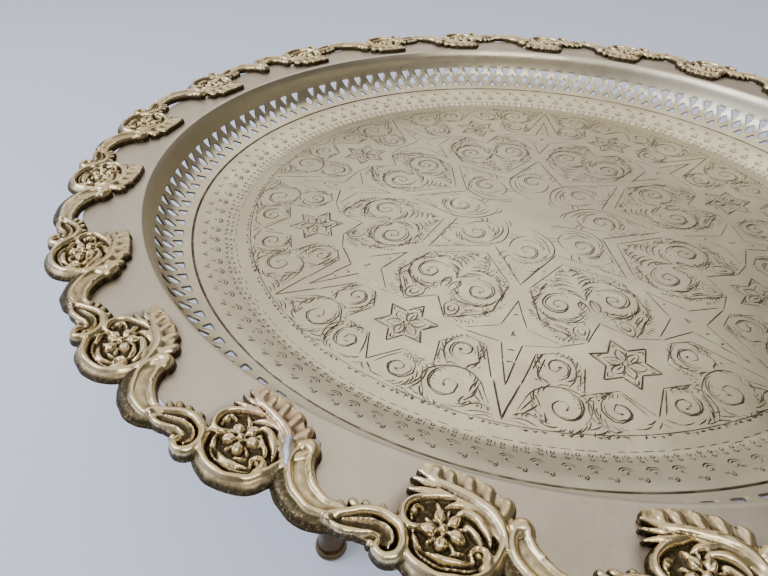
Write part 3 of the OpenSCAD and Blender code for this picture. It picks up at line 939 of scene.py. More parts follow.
# large scroll beside the dart's tip
volute((.112, .706), .050, -100, 1.35, hand=1, w=.46, dart=True, dspan=.45)
fan((.112, .706), .051, 20, 118, 7, .013, dart=True, w=.38)
fan((.112, .706), .052, 150, 215, 5, .012, dart=True, w=.38)
for pts, w in (
    ([(.150, .735), (.163, .712), (.160, .685), (.140, .664), (.108, .653), (.074, .660), (.050, .684), (.036, .712), (.026, .736)], .44),
    ([(.080, .752), (.079, .738), (.074, .728)], .50),
    ([(.066, .716), (.064, .700), (.056, .688), (.050, .690)], .44),
    ([(.062, .712), (.054, .722), (.040, .738)], .46),
    ([(.056, .698), (.048, .710), (.040, .724), (.032, .736)], .40),
    ([(.072, .752), (.056, .741), (.036, .741), (.018, .747)], .40),
    ([(.066, .764), (.040, .755), (.014, .760)], .40),
    ([(.052, .770), (.030, .764), (.010, .768)], .34),
    ([(.155, .748), (.170, .742), (.180, .730)], .40),
    ([(.168, .754), (.180, .748), (.192, .738)], .40),
    ([(.184, .756), (.192, .752), (.200, .745)], .36),
    ([(.150, .684), (.160, .672), (.168, .676)], .36),
    ([(.140, .672), (.148, .660), (.158, .662)], .36),
):
    curve(*in_dart(pts), w=w)
# scroll at the side of the hexagram
volute((.094, .602), .036, 80, 1.3, hand=-1, w=.46, dart=True, dspan=.5)
fan((.094, .602), .037, -30, 60, 5, .010, lean=-28, dart=True, w=.36)
fan((.094, .602), .036, 150, 205, 4, .009, lean=28, dart=True, w=.36)
for pts, w in (
    ([(.118, .652), (.130, .630), (.134, .602), (.124, .578), (.104, .566)], .42),
    ([(.082, .652), (.076, .644), (.066, .640), (.060, .630)], .46),
    ([(.070, .652), (.062, .640), (.058, .622), (.058, .606)], .46),
    ([(.062, .600), (.058, .588), (.066, .576)], .40),
    ([(.140, .645), (.143, .625), (.142, .606)], .34),
    ([(.122, .650), (.116, .644), (.104, .646), (.096, .652)], .36),
):
    curve(*in_dart(pts), w=w)
# scroll either side of the star's point
volute((.066, .716), .038, -62, 1.42, hand=1, w=.46, dspan=.5)
fan((.066, .716), .039, -20, 62, 5, .010, w=.36)
for pts, w in (
    ([(.018, .734), (.026, .712), (.036, .692), (.048, .674)], .38),
    ([(.104, .684), (.114, .712), (.110, .740), (.098, .758)], .44),
    ([(.114, .682), (.124, .708), (.121, .736), (.112, .752)], .38),
    ([(.056, .676), (.068, .671), (.082, .679), (.096, .672)], .44),
    ([(.060, .668), (.074, .676), (.088, .669), (.100, .668)], .34),
    ([(.100, .676), (.112, .680), (.120, .694), (.124, .710)], .38),
    ([(.022, .752), (.034, .760), (.048, .760), (.060, .757)], .36),
    ([(.010, .744), (.018, .752), (.028, .752)], .40),
    ([(.080, .760), (.092, .762), (.104, .757)], .36),
    ([(.000, .752), (.006, .760), (.014, .764)], .36),
):
    curve(*pts, w=w)
# shield: scroll, tear drop and leaves
volute((.068, .400), .046, -128, 1.5, hand=1, w=.48, dspan=.55, double=.008)
fan((.068, .400), .047, 10, 92, 7, .014, lean=34, w=.40)
fan((.068, .400), .049, 112, 165, 4, .010, lean=26, w=.38)
fan((.068, .400), .048, -70, -20, 5, .010, lean=30, w=.36)
for pts, w in (
    ([(.018, .438), (.040, .458), (.070, .460), (.098, .446), (.116, .418), (.120, .390)], .44),
    ([(.036, .474), (.032, .490), (.042, .510), (.055, .522), (.068, .506), (.066, .486), (.052, .474), (.040, .480)], .46),
    ([(.044, .484), (.042, .498), (.054, .508), (.059, .494), (.053, .486)], .40),
    ([(.062, .520), (.080, .512), (.090, .494), (.104, .480), (.122, .470)], .42),
    ([(.072, .500), (.084, .486), (.096, .474), (.108, .462)], .42),
    ([(.076, .486), (.088, .472), (.100, .462)], .38),
    ([(.024, .466), (.034, .462), (.046, .466), (.058, .462), (.070, .466), (.084, .460)], .40),
    ([(.118, .462), (.126, .446), (.124, .424)], .42),
    ([(.112, .452), (.118, .440)], .38),
    ([(.004, .436), (.004, .412), (.012, .396), (.022, .404), (.021, .424), (.014, .442)], .46),
    ([(.000, .392), (.010, .376), (.022, .364), (.030, .360)], .48),
    ([(.004, .378), (.014, .362), (.026, .352)], .44),
    ([(.008, .360), (.024, .350), (.038, .344), (.050, .346)], .48),
    ([(.010, .344), (.026, .332), (.044, .328), (.060, .334)], .48),
    ([(.006, .330), (.020, .318), (.038, .314), (.052, .318)], .44),
    ([(.012, .312), (.026, .302), (.042, .302)], .44),
    ([(.004, .298), (.016, .290), (.030, .290)], .42),
    ([(.002, .280), (.012, .274), (.022, .276)], .40),
    ([(.070, .330), (.084, .340), (.098, .352)], .38),
    ([(.064, .322), (.078, .328), (.090, .338)], .38),
    ([(.112, .362), (.119, .376), (.121, .392)], .34),
    ([(.028, .448), (.032, .440), (.030, .430)], .36),
):
    curve(*pts, w=w)


def comb(p, q, n, length, lean, w=.30, bow=.3):
    """n short curved hatches set along p-q, like the veins of a leaf."""
    p, q = np.array(p), np.array(q)
    d = q - p
    nrm = np.array([-d[1], d[0]]) / (np.hypot(*d) or 1)
    tan = d / (np.hypot(*d) or 1)
    for i in range(n):
        t = i / max(1, n - 1)
        a = p + d * t
        L = length * (0.7 + 0.5 * math.sin(math.pi * (t * .8 + .15)))
        e = a + nrm * L + tan * L * lean
        m = (a + e) / 2 + tan * L * bow
        HALF.append(("curve", [tuple(a), tuple(m), tuple(e)], w))


comb((.072, .520), (.104, .500), 5, .014, .4)
comb(D(.170, .752), D(.200, .744), 3, -.012, .3)
comb((.100, .352), (.114, .372), 4, .010, .2)
comb(D(.030, .742), D(.062, .735), 4, -.010, .5, .28)
comb((.026, .334), (.060, .330), 4, -.012, -.5, .34)
comb((.010, .262), (.030, .276), 4, .010, .3, .26)
comb(D(.090, .566), D(.118, .572), 4, .012, .3, .26)
comb((.052, .676), (.092, .676), 6, .009, .5, .26)
comb((.126, .440), (.134, .410), 5, .010, .2, .26)


def ground(poly, n, size=.0045, w=.24, seed=0):
    """Small wriggles that roughen a ground."""
    g = np.random.default_rng(seed)
    P = np.array(poly)
    lo_, hi_ = P.min(0), P.max(0)
    k = 0
    tries = 0
    while k < n and tries < n * 12:
        tries += 1
        c = lo_ + (hi_ - lo_) * g.random(2)
        inside = False
        j = len(P) - 1
        for i in range(len(P)):
            if (P[i][1] > c[1]) != (P[j][1] > c[1]) and c[0] < (P[j][0] - P[i][0]) * (c[1] - P[i][1]) / (P[j][1] - P[i][1]) + P[i][0]:
                inside = not inside
            j = i
        if not inside:
            continue
        a = g.random() * 6.28
        e = np.array([math.cos(a), math.sin(a)]) * size * (0.7 + .6 * g.random())
        f = np.array([-e[1], e[0]]) * .45 * (1 if g.random() < .5 else -1)
        HALF.append(("raw", [tuple(c - e), tuple(c + f), tuple(c + e)], w))
        k += 1


ground([(.058, .524), (.094, .502), (.13, .468), (.134, .43), (.118, .44), (.10, .462), (.078, .478)], 34, size=.0034, w=.27, seed=1)
ground([(.0, .256), (.05, .300), (.10, .330), (.122, .350), (.112, .365), (.086, .345), (.05, .335), (.02, .30)], 46, size=.0034, w=.27, seed=2)
ground([(.012, .445), (.03, .47), (.07, .474), (.09, .458), (.05, .462), (.02, .44)], 14, size=.003, w=.26, seed=3)
ground([D(.10, .765), D(.06, .755), D(.06, .73), D(.075, .73), D(.09, .762), D(.15, .755), D(.15, .765)], 18, size=.0032, w=.26, seed=4)
ground([D(.148, .66), D(.130, .65), D(.138, .60), D(.148, .60)], 12, size=.003, w=.26, seed=5)
ground([(.052, .668), (.10, .69), (.104, .668)], 10, size=.003, w=.26, seed=6)
ground([D(.165, .70), D(.165, .735), D(.20, .745), D(.185, .72)], 10, size=.003, w=.26, seed=7)
ground([(.118, .43), (.10, .45), (.12, .462), (.134, .42), (.126, .36), (.118, .37)], 16, size=.003, w=.26, seed=8)
ground([D(.048, .75), D(.020, .75), D(.026, .742), D(.05, .735)], 6, size=.003, w=.25, seed=9)
ground([D(.055, .66), D(.046, .64), D(.066, .59), D(.072, .60)], 8, size=.003, w=.25, seed=10)
ground([(.036, .384), (.020, .35), (.045, .348), (.05, .358)], 8, size=.003, w=.25, seed=12)
ground([(.128, .70), (.12, .68), (.14, .67), (.14, .72)], 6, size=.003, w=.25, seed=13)

for k in range(8):
    star = STAR0 + 45 * k
    for mirror in (False, True):
        for kind, pts, w in HALF:
            jit = .0011 if kind != "raw" else .0006
            q = [(p[0] + erng.normal(0, jit), p[1] + erng.normal(0, jit)) for p in pts]
            if mirror and all(abs(p[0]) < .0015 for p in pts):
                continue
            mm = np.array([plan(p, star, mirror) for p in q])
            w2 = w * float(erng.uniform(.82, 1.15))
            if kind == "line":
                # a straight cut is put down in one to three strokes
                L = np.hypot(*(mm[-1] - mm[0]))
                n = max(2, int(L / 6))
                t = np.linspace(0, 1, n)[:, None]
                path = mm[0] * (1 - t) + mm[-1] * t
                if n > 2:
                    path[1:-1] += erng.normal(0, .10, (n - 2, 2))
                add_groove(path, w2, .30, (.10, .16))
            elif kind == "raw":
                add_groove(mm, w2, .16, (.4, .4))
            else:
                add_groove(smooth_path(mm), w2, .26, (.30, .42))

# rosette round the plain centre: eight turning scrolls, all the same way round
def spiral_pts(c, r0, a0, turns, r1=.005, hand=1, n=20, dr=0.0, t1=1.0):
    return [(c[0] + (r0 + (r1 - r0) * (t1 * i / (n - 1)) ** .8 + dr) * math.cos(rad(a0 + hand * 360 * turns * t1 * i / (n - 1))),
             c[1] + (r0 + (r1 - r0) * (t1 * i / (n - 1)) ** .8 + dr) * math.sin(rad(a0 + hand * 360 * turns * t1 * i / (n - 1)))) for i in range(n)]


def fan_pts(c, r, a0, a1, n, length, lean=28):
    out = []
    for i in range(n):
        a_ = a0 + (a1 - a0) * i / max(1, n - 1)
        L = length * (.55 + .6 * math.sin(math.pi * (i + .8) / (n + .6)))
        out.append([(c[0] + (r + L * f_) * math.cos(rad(a_ + lean * f_ ** 1.5)), c[1] + (r + L * f_) * math.sin(rad(a_ + lean * f_ ** 1.5))) for f_ in (0, .5, 1)])
    return out


ROS = [
    (spiral_pts((-.006, .194), .042, 25, 1.35), .44),
    (spiral_pts((-.006, .194), .042, 40, 1.35, dr=-.007, t1=.5), .36),
    ([(-.052, .226), (-.070, .196), (-.072, .160), (-.056, .126), (-.026, .100), (.006, .090)], .46),
    ([(-.060, .190), (-.056, .158), (-.038, .128), (-.012, .112)], .42),
    ([(-.044, .154), (-.030, .136), (-.012, .126)], .40),
    ([(.040, .190), (.040, .164), (.028, .142), (.010, .128), (-.006, .124)], .42),
    ([(.046, .208), (.058, .222), (.060, .240)], .38),
    ([(.036, .222), (.046, .236), (.044, .252)], .38),
    ([(-.022, .244), (-.006, .252), (.010, .248), (.022, .240)], .38),
    ([(.030, .150), (.040, .140), (.052, .138)], .38),
    ([(.024, .136), (.034, .126), (.046, .122)], .36),
    ([(-.030, .094), (-.016, .084), (.002, .080)], .36),
    ([(-.036, .258), (-.030, .276), (-.016, .286)], .34),
    ([(.036, .262), (.030, .278), (.018, .288)], .34),
]
ROS += [(q, .36) for q in fan_pts((-.006, .194), .043, 60, 150, 6, .012)]
ROS += [(q, .34) for q in fan_pts((-.006, .194), .043, 200, 262, 4, .010)]
for k in range(8):
    a = STAR0 - 22.5 + 45 * k
    for pts, w in ROS:
        q = [(p[0] + erng.normal(0, .0012), p[1] + erng.normal(0, .0012)) for p in pts]
        mm = np.array([plan(p, a, False) for p in q])
        add_groove(smooth_path(mm), w * float(erng.uniform(.85, 1.12)), .25, (.3, .42))
    g = np.random.default_rng(40 + k)
    for _ in range(54):
        p = (g.uniform(-.06, .06), g.uniform(.235, .33))
        if abs(p[0]) > .33 * p[1] - .03:
            continue
        e = g.uniform(-.004, .004, 2)
        mm = np.array([plan((p[0] - e[0], p[1] - e[1]), a, False), plan((p[0] + e[1] * .5, p[1]), a, False),
                       plan((p[0] + e[0], p[1] + e[1]), a, False)])
        add_groove(mm, .24, .15, (.4, .4))

# ------------------------------------------------------ rings of small marks


def ring_pt(r_units, ang_deg, dr=0.0, dt=0.0):
    """Radius in lip radii, angle, then offsets in mm outwards and clockwise."""
    a = rad(ang_deg)
    rr = r_units * R0 + dr
    return (rr * math.cos(a) + dt * math.sin(a), rr * math.sin(a) - dt * math.cos(a))


# edge of the field
n = 180
circ = [ring_pt(.774 + .0006 * math.sin(3 * rad(360 * i / n)), 360 * i / n) for i in range(n + 1)]
for i in range(0, n, 6):
    add_groove(np.array(circ[i:i + 7]) + erng.normal(0, .05, (7, 2)), .30, .2, (.08, .08))
n = 300
for i in range(n):
    a = 360 * i / n + erng.normal(0, .12)
    if erng.random() < .12:
        continue
    L = float(erng.uniform(.9, 2.2))
    add_groove(np.array([ring_pt(.7775, a, erng.uniform(-.3, .8), -L / 2), ring_pt(.7775, a, erng.uniform(.3, 1.4), 0),
                         ring_pt(.7775, a, erng.uniform(-.3, .8), L / 2)]), float(erng.uniform(.40, .62)), .26, (.3, .3))
# dashed line
n = 210
for i in range(n):
    a = 360 * i / n + erng.normal(0, .1)
    L = float(erng.uniform(3.0, 5.0))
    add_groove(np.array([ring_pt(.812, a, erng.normal(0, .15), -L / 2), ring_pt(.812, a, erng.normal(0, .15), L / 2)]), .24, .16, (.2, .2))
# band of little knots
n = 240
for i in range(n):
    a = 360 * i / n + erng.normal(0, .10)
    o = float(erng.normal(0, .25))
    for dr in (-1.4, 1.3):
        add_groove(np.array([ring_pt(.827, a, dr + o - .7, -.8), ring_pt(.827, a, dr + o + .8, -.6), ring_pt(.827, a, dr + o + .9, .5),
                             ring_pt(.827, a, dr + o - .2, .9), ring_pt(.827, a, dr + o - .9, .1)]), .31, .22, (.2, .3))
    if i % 2 == 0:
        add_groove(np.array([ring_pt(.827, a + .75, o - 1.6, 0), ring_pt(.827, a + .75, o - .2, .35), ring_pt(.827, a + .75, o + 1.5, 0)]), .24, .16, (.3, .3))
# double arcs that bulge to the middle, a dot in each
n = 112
for i in range(n):
    a = 360 * i / n + erng.normal(0, .18)
    o = float(erng.normal(0, .3))
    for q, (rr, ww) in enumerate(((3.4, .42), (2.2, .36))):
        pts = []
        for b in np.linspace(-62, 62, 7):
            pts.append(ring_pt(.866, a, o - rr * 1.15 * math.cos(rad(b)), rr * math.sin(rad(b))))
        add_groove(np.array(pts), ww, .26, (.35, .35))
    add_groove(np.array([ring_pt(.8665, a, o - .6, -.1), ring_pt(.8665, a, o + .5, .1)]), .50, .26, (.4, .4))
# commas with short hatches
n = 112
for i in range(n):
    a = 360 * (i + .5) / n + erng.normal(0, .2)
    o = float(erng.normal(0, .25))
    add_groove(np.array([ring_pt(.885, a, o - 1.6, -1.3), ring_pt(.885, a, o + .2, -1.5), ring_pt(.885, a, o + 1.2, -.6), ring_pt(.885, a, o + .9, .5)]), .40, .24, (.2, .5))
    add_groove(np.array([ring_pt(.885, a, o - .6, -.4), ring_pt(.885, a, o + .3, -.1)]), .46, .24, (.4, .4))
    for h in range(3):
        add_groove(np.array([ring_pt(.885, a, o - 1.6, .7 + .7 * h), ring_pt(.885, a, o - .1, 1.1 + .7 * h)]), .22, .16, (.4, .4))

# -------------------------------------------------------------- tray profile

_seg = np.r_[0, np.cumsum(np.hypot(*np.diff(TOP, axis=0).T))]


def _slopes():
    """Tangents for a smooth curve through the profile, flat at both ends."""
    d = np.diff(TOP, axis=0) / np.diff(_seg)[:, None]
    m = np.zeros_like(TOP)
    h = np.diff(_seg)
    for i in range(1, len(TOP) - 1):
        m[i] = (d[i - 1] * h[i] + d[i] * h[i - 1]) / (h[i] + h[i - 1])
    m[0] = m[1] = (1, 0)
    m[-2] = m[-1] = (1, 0)
    return m


_tan = _slopes()


def profile(s):
    """Point (r, z) and unit normal of the sheet's upper face at arc length s."""
    s = np.asarray(s, float)
    i = np.clip(np.searchsorted(_seg, s, side="right") - 1, 0, len(_seg) - 2)
    h = _seg[i + 1] - _seg[i]
    t = np.clip((s - _seg[i]) / h, 0, 1)
    p0, p1, m0, m1 = TOP[i], TOP[i + 1], _tan[i] * h[..., None], _tan[i + 1] * h[..., None]
    t = t[..., None]
    p = (2 * t**3 - 3 * t**2 + 1) * p0 + (t**3 - 2 * t**2 + t) * m0 + (-2 * t**3 + 3 * t**2) * p1 + (t**3 - t**2) * m1
    dp = (6 * t**2 - 6 * t) * p0 + (3 * t**2 - 4 * t + 1) * m0 + (6 * t - 6 * t**2) * p1 + (3 * t**2 - 2 * t) * m1
    dp /= np.linalg.norm(dp, axis=-1, keepdims=True) + 1e-12
    return p, np.stack([-dp[..., 1], dp[..., 0]], -1)


_sd = np.linspace(0, _seg[-1], 6000)
_pd, _nd = profile(_sd)


def z_at(r):
    return np.interp(r, _pd[:, 0], _pd[:, 1])


def s_at(r):
    return np.interp(r, _pd[:, 0], _sd)


# ----------------------------------------------------------- engraved sheets


def engraved(name, r_in, r_out, circles, spokes, node):
    """A closed piece of the sheet between two radii, with the grooves cut in."""
    verts, edges = [], []

    def poly(pts, closed=False):
        b = len(verts)
        verts.extend((float(x), float(y)) for x, y in pts)
        m = len(pts)
        for k in range(m - 1):
            edges.append((b + k, b + k + 1))
        if closed:
            edges.append((b + m - 1, b))
        return b

    used = []
    for pts, w, dep in GROOVES:
        r = np.hypot(pts[:, 0], pts[:, 1])
        if r.max() + 1 < r_in or r.min() - 1 > r_out:
            continue
        if r.max() + w.max() > r_out - .05 or r.min() - w.max() < r_in + .05:
            if not (r_in > 0 and r.mean() > r_in and r.mean() < r_out) and not (r_in == 0 and r.mean() < r_out):
                continue
            r_c = np.clip(r, r_in + .6, r_out - .6)
            pts = pts * (r_c / r)[:, None]
        used.append((pts, w, dep))
        t = np.gradient(pts, axis=0)
        t /= np.linalg.norm(t, axis=1)[:, None] + 1e-9
        nn = np.c_[-t[:, 1], t[:, 0]]
        left, right_ = pts + nn * w[:, None], pts - nn * w[:, None]
        tip0, tip1 = pts[:1] - t[:1] * w[0] * 1.3, pts[-1:] + t[-1:] * w[-1] * 1.3
        outline = np.vstack([tip0, left, tip1, right_[::-1]])
        poly(outline, closed=True)
        poly(pts)
    fixed = []
    for rr, nseg in circles:
        a = np.arange(nseg) * 2 * math.pi / nseg
        poly(np.c_[rr * np.cos(a), rr * np.sin(a)], closed=True)
    res = delaunay_2d_cdt([Vector(v) for v in verts], edges, [], 0, 1e-4)
    V = np.array([(v.x, v.y) for v in res[0]])
    F = np.array([f for f in res[2]], int)
    cen = V[F].mean(1)
    rc = np.hypot(cen[:, 0], cen[:, 1])
    F = F[(rc < r_out) & (rc > r_in)]
    keep = np.unique(F)
    remap = -np.ones(len(V), int)
    remap[keep] = np.arange(len(keep))
    V, F = V[keep], remap[F]
    # groove depth at every vertex, and the mask for the painted shade in the grooves
    dep_at = np.zeros(len(V))
    groove_shade = np.zeros(len(V))
    cell = 2.5
    key = np.floor(V / cell).astype(int)
    buckets = {}
    for idx_, (kx, ky) in enumerate(key):
        buckets.setdefault((kx, ky), []).append(idx_)
    for pts, w, dep in used:
        for a, b, wa, wb in zip(pts[:-1], pts[1:], w[:-1], w[1:]):
            wm = max(wa, wb) + .05
            lo_, hi_ = np.minimum(a, b) - wm, np.maximum(a, b) + wm
            k0, k1 = np.floor(lo_ / cell).astype(int), np.floor(hi_ / cell).astype(int)
            ids = []
            for kx in range(k0[0], k1[0] + 1):
                for ky in range(k0[1], k1[1] + 1):
                    ids.extend(buckets.get((kx, ky), ()))
            if not ids:
                continue
            ids = np.array(ids)
            P = V[ids]
            ab = b - a
            t = np.clip(((P - a) @ ab) / (ab @ ab + 1e-12), 0, 1)
            d = np.hypot(*(P - (a + t[:, None] * ab)).T)
            ww = wa + (wb - wa) * t
            q = np.clip(1 - d / ww * 1.02, 0, 1)
            dd = dep * np.minimum(1.0, ww / .36) * q
            dep_at[ids] = np.maximum(dep_at[ids], dd)
            groove_shade[ids] = np.maximum(groove_shade[ids], q)
    r = np.hypot(V[:, 0], V[:, 1])
    if r_in > 0:
        # a turned groove where the border meets the pierced wall, with painted shade along it
        step_ = np.clip(1 - np.abs(r - 219.0) / .8, 0, 1)
        dep_at = np.maximum(dep_at, .55 * step_)
        groove_shade = np.maximum(groove_shade, .9 * step_)
    zt = z_at(r)
    top = np.c_[V, zt - dep_at]
    # outline vertices of the disc or ring
    e = np.sort(np.vstack([F[:, [0, 1]], F[:, [1, 2]], F[:, [2, 0]]]), axis=1)
    e, cnt = np.unique(e, axis=0, return_counts=True)
    border = e[cnt == 1]
    nt = len(top)
    # the underside: a plain ring that follows the same profile, 1.2 mm below
    rads = sorted({r_in, r_out, *[c[0] for c in circles]})
    rads = [q for q in rads if r_in <= q <= r_out]
    nseg = circles[-1][1]
    bverts, bf = [], []
    lv = []
    _, nrm = profile(s_at(np.array(rads)))
    for q, nv in zip(rads, nrm):
        if q == 0:
            lv.append([len(bverts)])
            bverts.append((0, 0, -SHEET))
            continue
        lv.append(list(range(len(bverts), len(bverts) + nseg)))
        rr = q - nv[0] * SHEET if 195.01 < q < 219 else q
        for k in range(nseg):
            a = 2 * math.pi * k / nseg
            bverts.append((rr * math.cos(a), rr * math.sin(a), float(z_at(q)) - nv[1] * SHEET))
    for la, lb in zip(lv[:-1], lv[1:]):
        for k in range(nseg):
            k2 = (k + 1) % nseg
            if len(la) == 1:
                bf.append((la[0], lb[k2], lb[k]))
            else:
                bf.append((la[k], la[k2], lb[k2], lb[k]))
    allv = np.vstack([top, np.array(bverts, float)])
    faces = [tuple(int(x) for x in f) for f in F]
    mi = [0] * len(faces)
    for f in bf:
        faces.append(tuple(nt + x for x in f))
        mi.append(1)
    # walls at the two edges, top outline and bottom ring share their corners
    for rim, ring, outward in ((r_out, lv[-1], True), (r_in, lv[0], False)):
        if rim == 0:
            continue
        on = [i for i in np.unique(border) if abs(r[i] - rim) < .02]
        on.sort(key=lambda i: math.atan2(V[i, 1], V[i, 0]) % (2 * math.pi))
        m = len(on)
        for k in range(m):
            i0, i1 = on[k], on[(k + 1) % m]
            a0 = (math.atan2(V[i0, 1], V[i0, 0]) % (2 * math.pi)) / (2 * math.pi) * nseg
            b0 = nt + ring[int(round(a0)) % nseg]
            a1 = (math.atan2(V[i1, 1], V[i1, 0]) % (2 * math.pi)) / (2 * math.pi) * nseg
            b1 = nt + ring[int(round(a1)) % nseg]
            quad = [i0, i1, b1, b0] if b1 != b0 else [i0, i1, b0]
            if outward:
                quad = quad[::-1]
            faces.append(tuple(int(x) for x in quad))
            mi.append(1)
    full = np.zeros(len(allv))
    full[:nt] = np.clip(groove_shade, 0, 1)
    ob = make_object(name, allv, faces, [M_FLOOR, M_UNDER], {"groove": full}, smooth=r_in > 0, mat_index=mi)
    if r_in > 0:
        ob.data.set_sharp_from_angle(angle=rad(9))
    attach(ob, "tray")
    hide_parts(node)
    return ob


floor_piece = engraved("engraved_floor", 0.0, 195.0, [(30.0, 48), (80.0, 96), (130.0, 96), (175.0, 180), (195.0, 360)], 0, "tray_floor")
border_piece = engraved("engraved_border", 195.0, 220.0,
                        [(195.0, 360)] + [(q, 360) for q in (196.2, 197.5, 199, 200.5, 202, 203.5, 205, 206.6, 208.4, 210.2, 212, 214, 216, 217.4, 218.2, 218.6, 219, 219.4, 219.8)] + [(220.0, 360)],
                        0, "floor_border")

# --------------------------------------------------------------- pierced wall

SEAM_A, SEAM_B = 133.0, 137.3
lens = [137.3 + 3.05 * i for i in range(5)]
lens += [lens[-1] + (173.4 - 149.5) / 8 * (i + 1) for i in range(8)]
lens += [173.4 + 2.945 * (i + 1) for i in range(11)]
base_a = lens[-1]
lens += [base_a + (477.8 - base_a) / 91 * (i + 1) for i in range(91)]
lens += [477.8 + 3.04 * (i + 1) for i in range(5)]
R_LENS = 231.6
sB, sT = float(s_at(220.0)), float(s_at(241.0))
s_l = float(s_at(231.6)) + .1
s_u1, s_u0 = float(s_at(236.0)) + 1.7, float(s_at(234.0)) - .7
s_d1, s_d0 = float(s_at(228.0)) + 1.1, float(s_at(224.0)) + .5
PW = 3.0 * math.pi / 180 * R_LENS


def lens_outline():
    out = []
    for k in range(10):
        t = -1 + 2 * k / 9
        out.append((2.80 * (1 - abs(t) ** 1.9), s_l + 4.05 * t))
    for k in range(8, 0, -1):
        t = -1 + 2 * k / 9
        out.append((-2.80 * (1 - abs(t) ** 1.9), s_l + 4.05 * t))
    return out


def tri_outline(cx, s_tip, s_base, half):
    d = s_base - s_tip
    pts = [(0, 0), (.42, .30), (.72, .62), (1.0, .90), (.90, 1.0), (.45, 1.03), (0, 1.02), (-.45, 1.03), (-.90, 1.0), (-1.0, .90), (-.72, .62), (-.42, .30)]
    out = [(cx + half * a, s_tip + d * b) for a, b in pts]
    return out if d > 0 else out[::-1]


def grow(out, k):
    c = np.mean(out, axis=0)
    o = np.array(out) - c
    n_ = np.linalg.norm(o, axis=1)[:, None]
    return (c + o * (n_ + k) / n_).tolist()


U0, U1 = 2.72 - PW, 2.72
cxm = -PW / 2
holes = [lens_outline(), tri_outline(cxm, s_u0 - .3, s_u1 + .2, 3.3), tri_outline(cxm, s_d1 + .5, s_d0 - .1, 2.9)]


def cell_mesh(with_holes=True, u0=U0, u1=U1, nu=5):
    verts, edges = [], []

    def poly(pts, closed):
        b = len(verts)
        verts.extend(pts)
        m = len(pts)
        for k in range(m - 1):
            edges.append((b + k, b + k + 1))
        if closed:
            edges.append((b + m - 1, b))
    rows = sorted({sB, sT, *np.linspace(sB, sT, 19).tolist()})
    us = np.linspace(u0, u1, nu)
    for s_ in rows:
        poly([(float(u_), s_) for u_ in us], False)
    for u_ in us:
        poly([(float(u_), s_) for s_ in rows], False)
    if with_holes:
        for h in holes:
            poly([tuple(p) for p in h], True)
            poly([tuple(p) for p in grow(h, .45)], True)
    res = delaunay_2d_cdt([Vector(v) for v in verts], edges, [], 0, 1e-4)
    V = np.array([(v.x, v.y) for v in res[0]])
    F = np.array([f for f in res[2]], int)
    cen = V[F].mean(1)
    ok = (cen[:, 0] > u0) & (cen[:, 0] < u1) & (cen[:, 1] > sB) & (cen[:, 1] < sT)
    hole_edge = np.zeros(len(V), bool)
    if with_holes:
        for h in holes:
            H_ = np.array(h)
            ins = np.zeros(len(cen), bool)
            j = len(H_) - 1
            for i in range(len(H_)):
                c1 = (H_[i, 1] > cen[:, 1]) != (H_[j, 1] > cen[:, 1])
                with np.errstate(divide="ignore", invalid="ignore"):
                    xx = (H_[j, 0] - H_[i, 0]) * (cen[:, 1] - H_[i, 1]) / (H_[j, 1] - H_[i, 1]) + H_[i, 0]
                ins ^= c1 & (cen[:, 0] < xx)
                j = i
            ok &= ~ins
    F = F[ok]
    keep = np.unique(F)
    rm = -np.ones(len(V), int)
    rm[keep] = np.arange(len(keep))
    V, F = V[keep], rm[F]
    e = np.vstack([F[:, [0, 1]], F[:, [1, 2]], F[:, [2, 0]]])
    es = np.sort(e, axis=1)
    uq, inv, cnt = np.unique(es, axis=0, return_inverse=True, return_counts=True)
    bnd = e[cnt[inv] == 1]
    left = (np.abs(V[bnd, 0] - u0) < 1e-3).all(1)
    right_ = (np.abs(V[bnd, 0] - u1) < 1e-3).all(1)
    wall = bnd[~left & ~right_]
    isin = ((V[:, 1] > sB + .01) & (V[:, 1] < sT - .01))
    hv = np.zeros(len(V), bool)
    hv[np.unique(wall)] = True
    hv &= isin
    return V, F, wall, hv


cell = cell_mesh()
plain = cell_mesh(False, 0.0, (SEAM_B - SEAM_A - 3.0) * math.pi / 180 * R_LENS, 3)
allp, allf, mi_, hole_shade = [], [], [], []
off = 0
grng = np.random.default_rng(3)


def wall_xyz(u_deg, s_, drop, side):
    p, nv = profile(s_)
    a = np.radians(u_deg)
    k = -drop if side == 0 else -SHEET
    rr = p[:, 0] + nv[:, 0] * k
    zz = p[:, 1] + nv[:, 1] * k
    # the seams of the ring keep their radius
    edge = (np.abs(s_ - sB) < 1e-3) | (np.abs(s_ - sT) < 1e-3)
    rr = np.where(edge & (side == 1), p[:, 0], rr)
    return np.c_[rr * np.cos(a), rr * np.sin(a), zz]


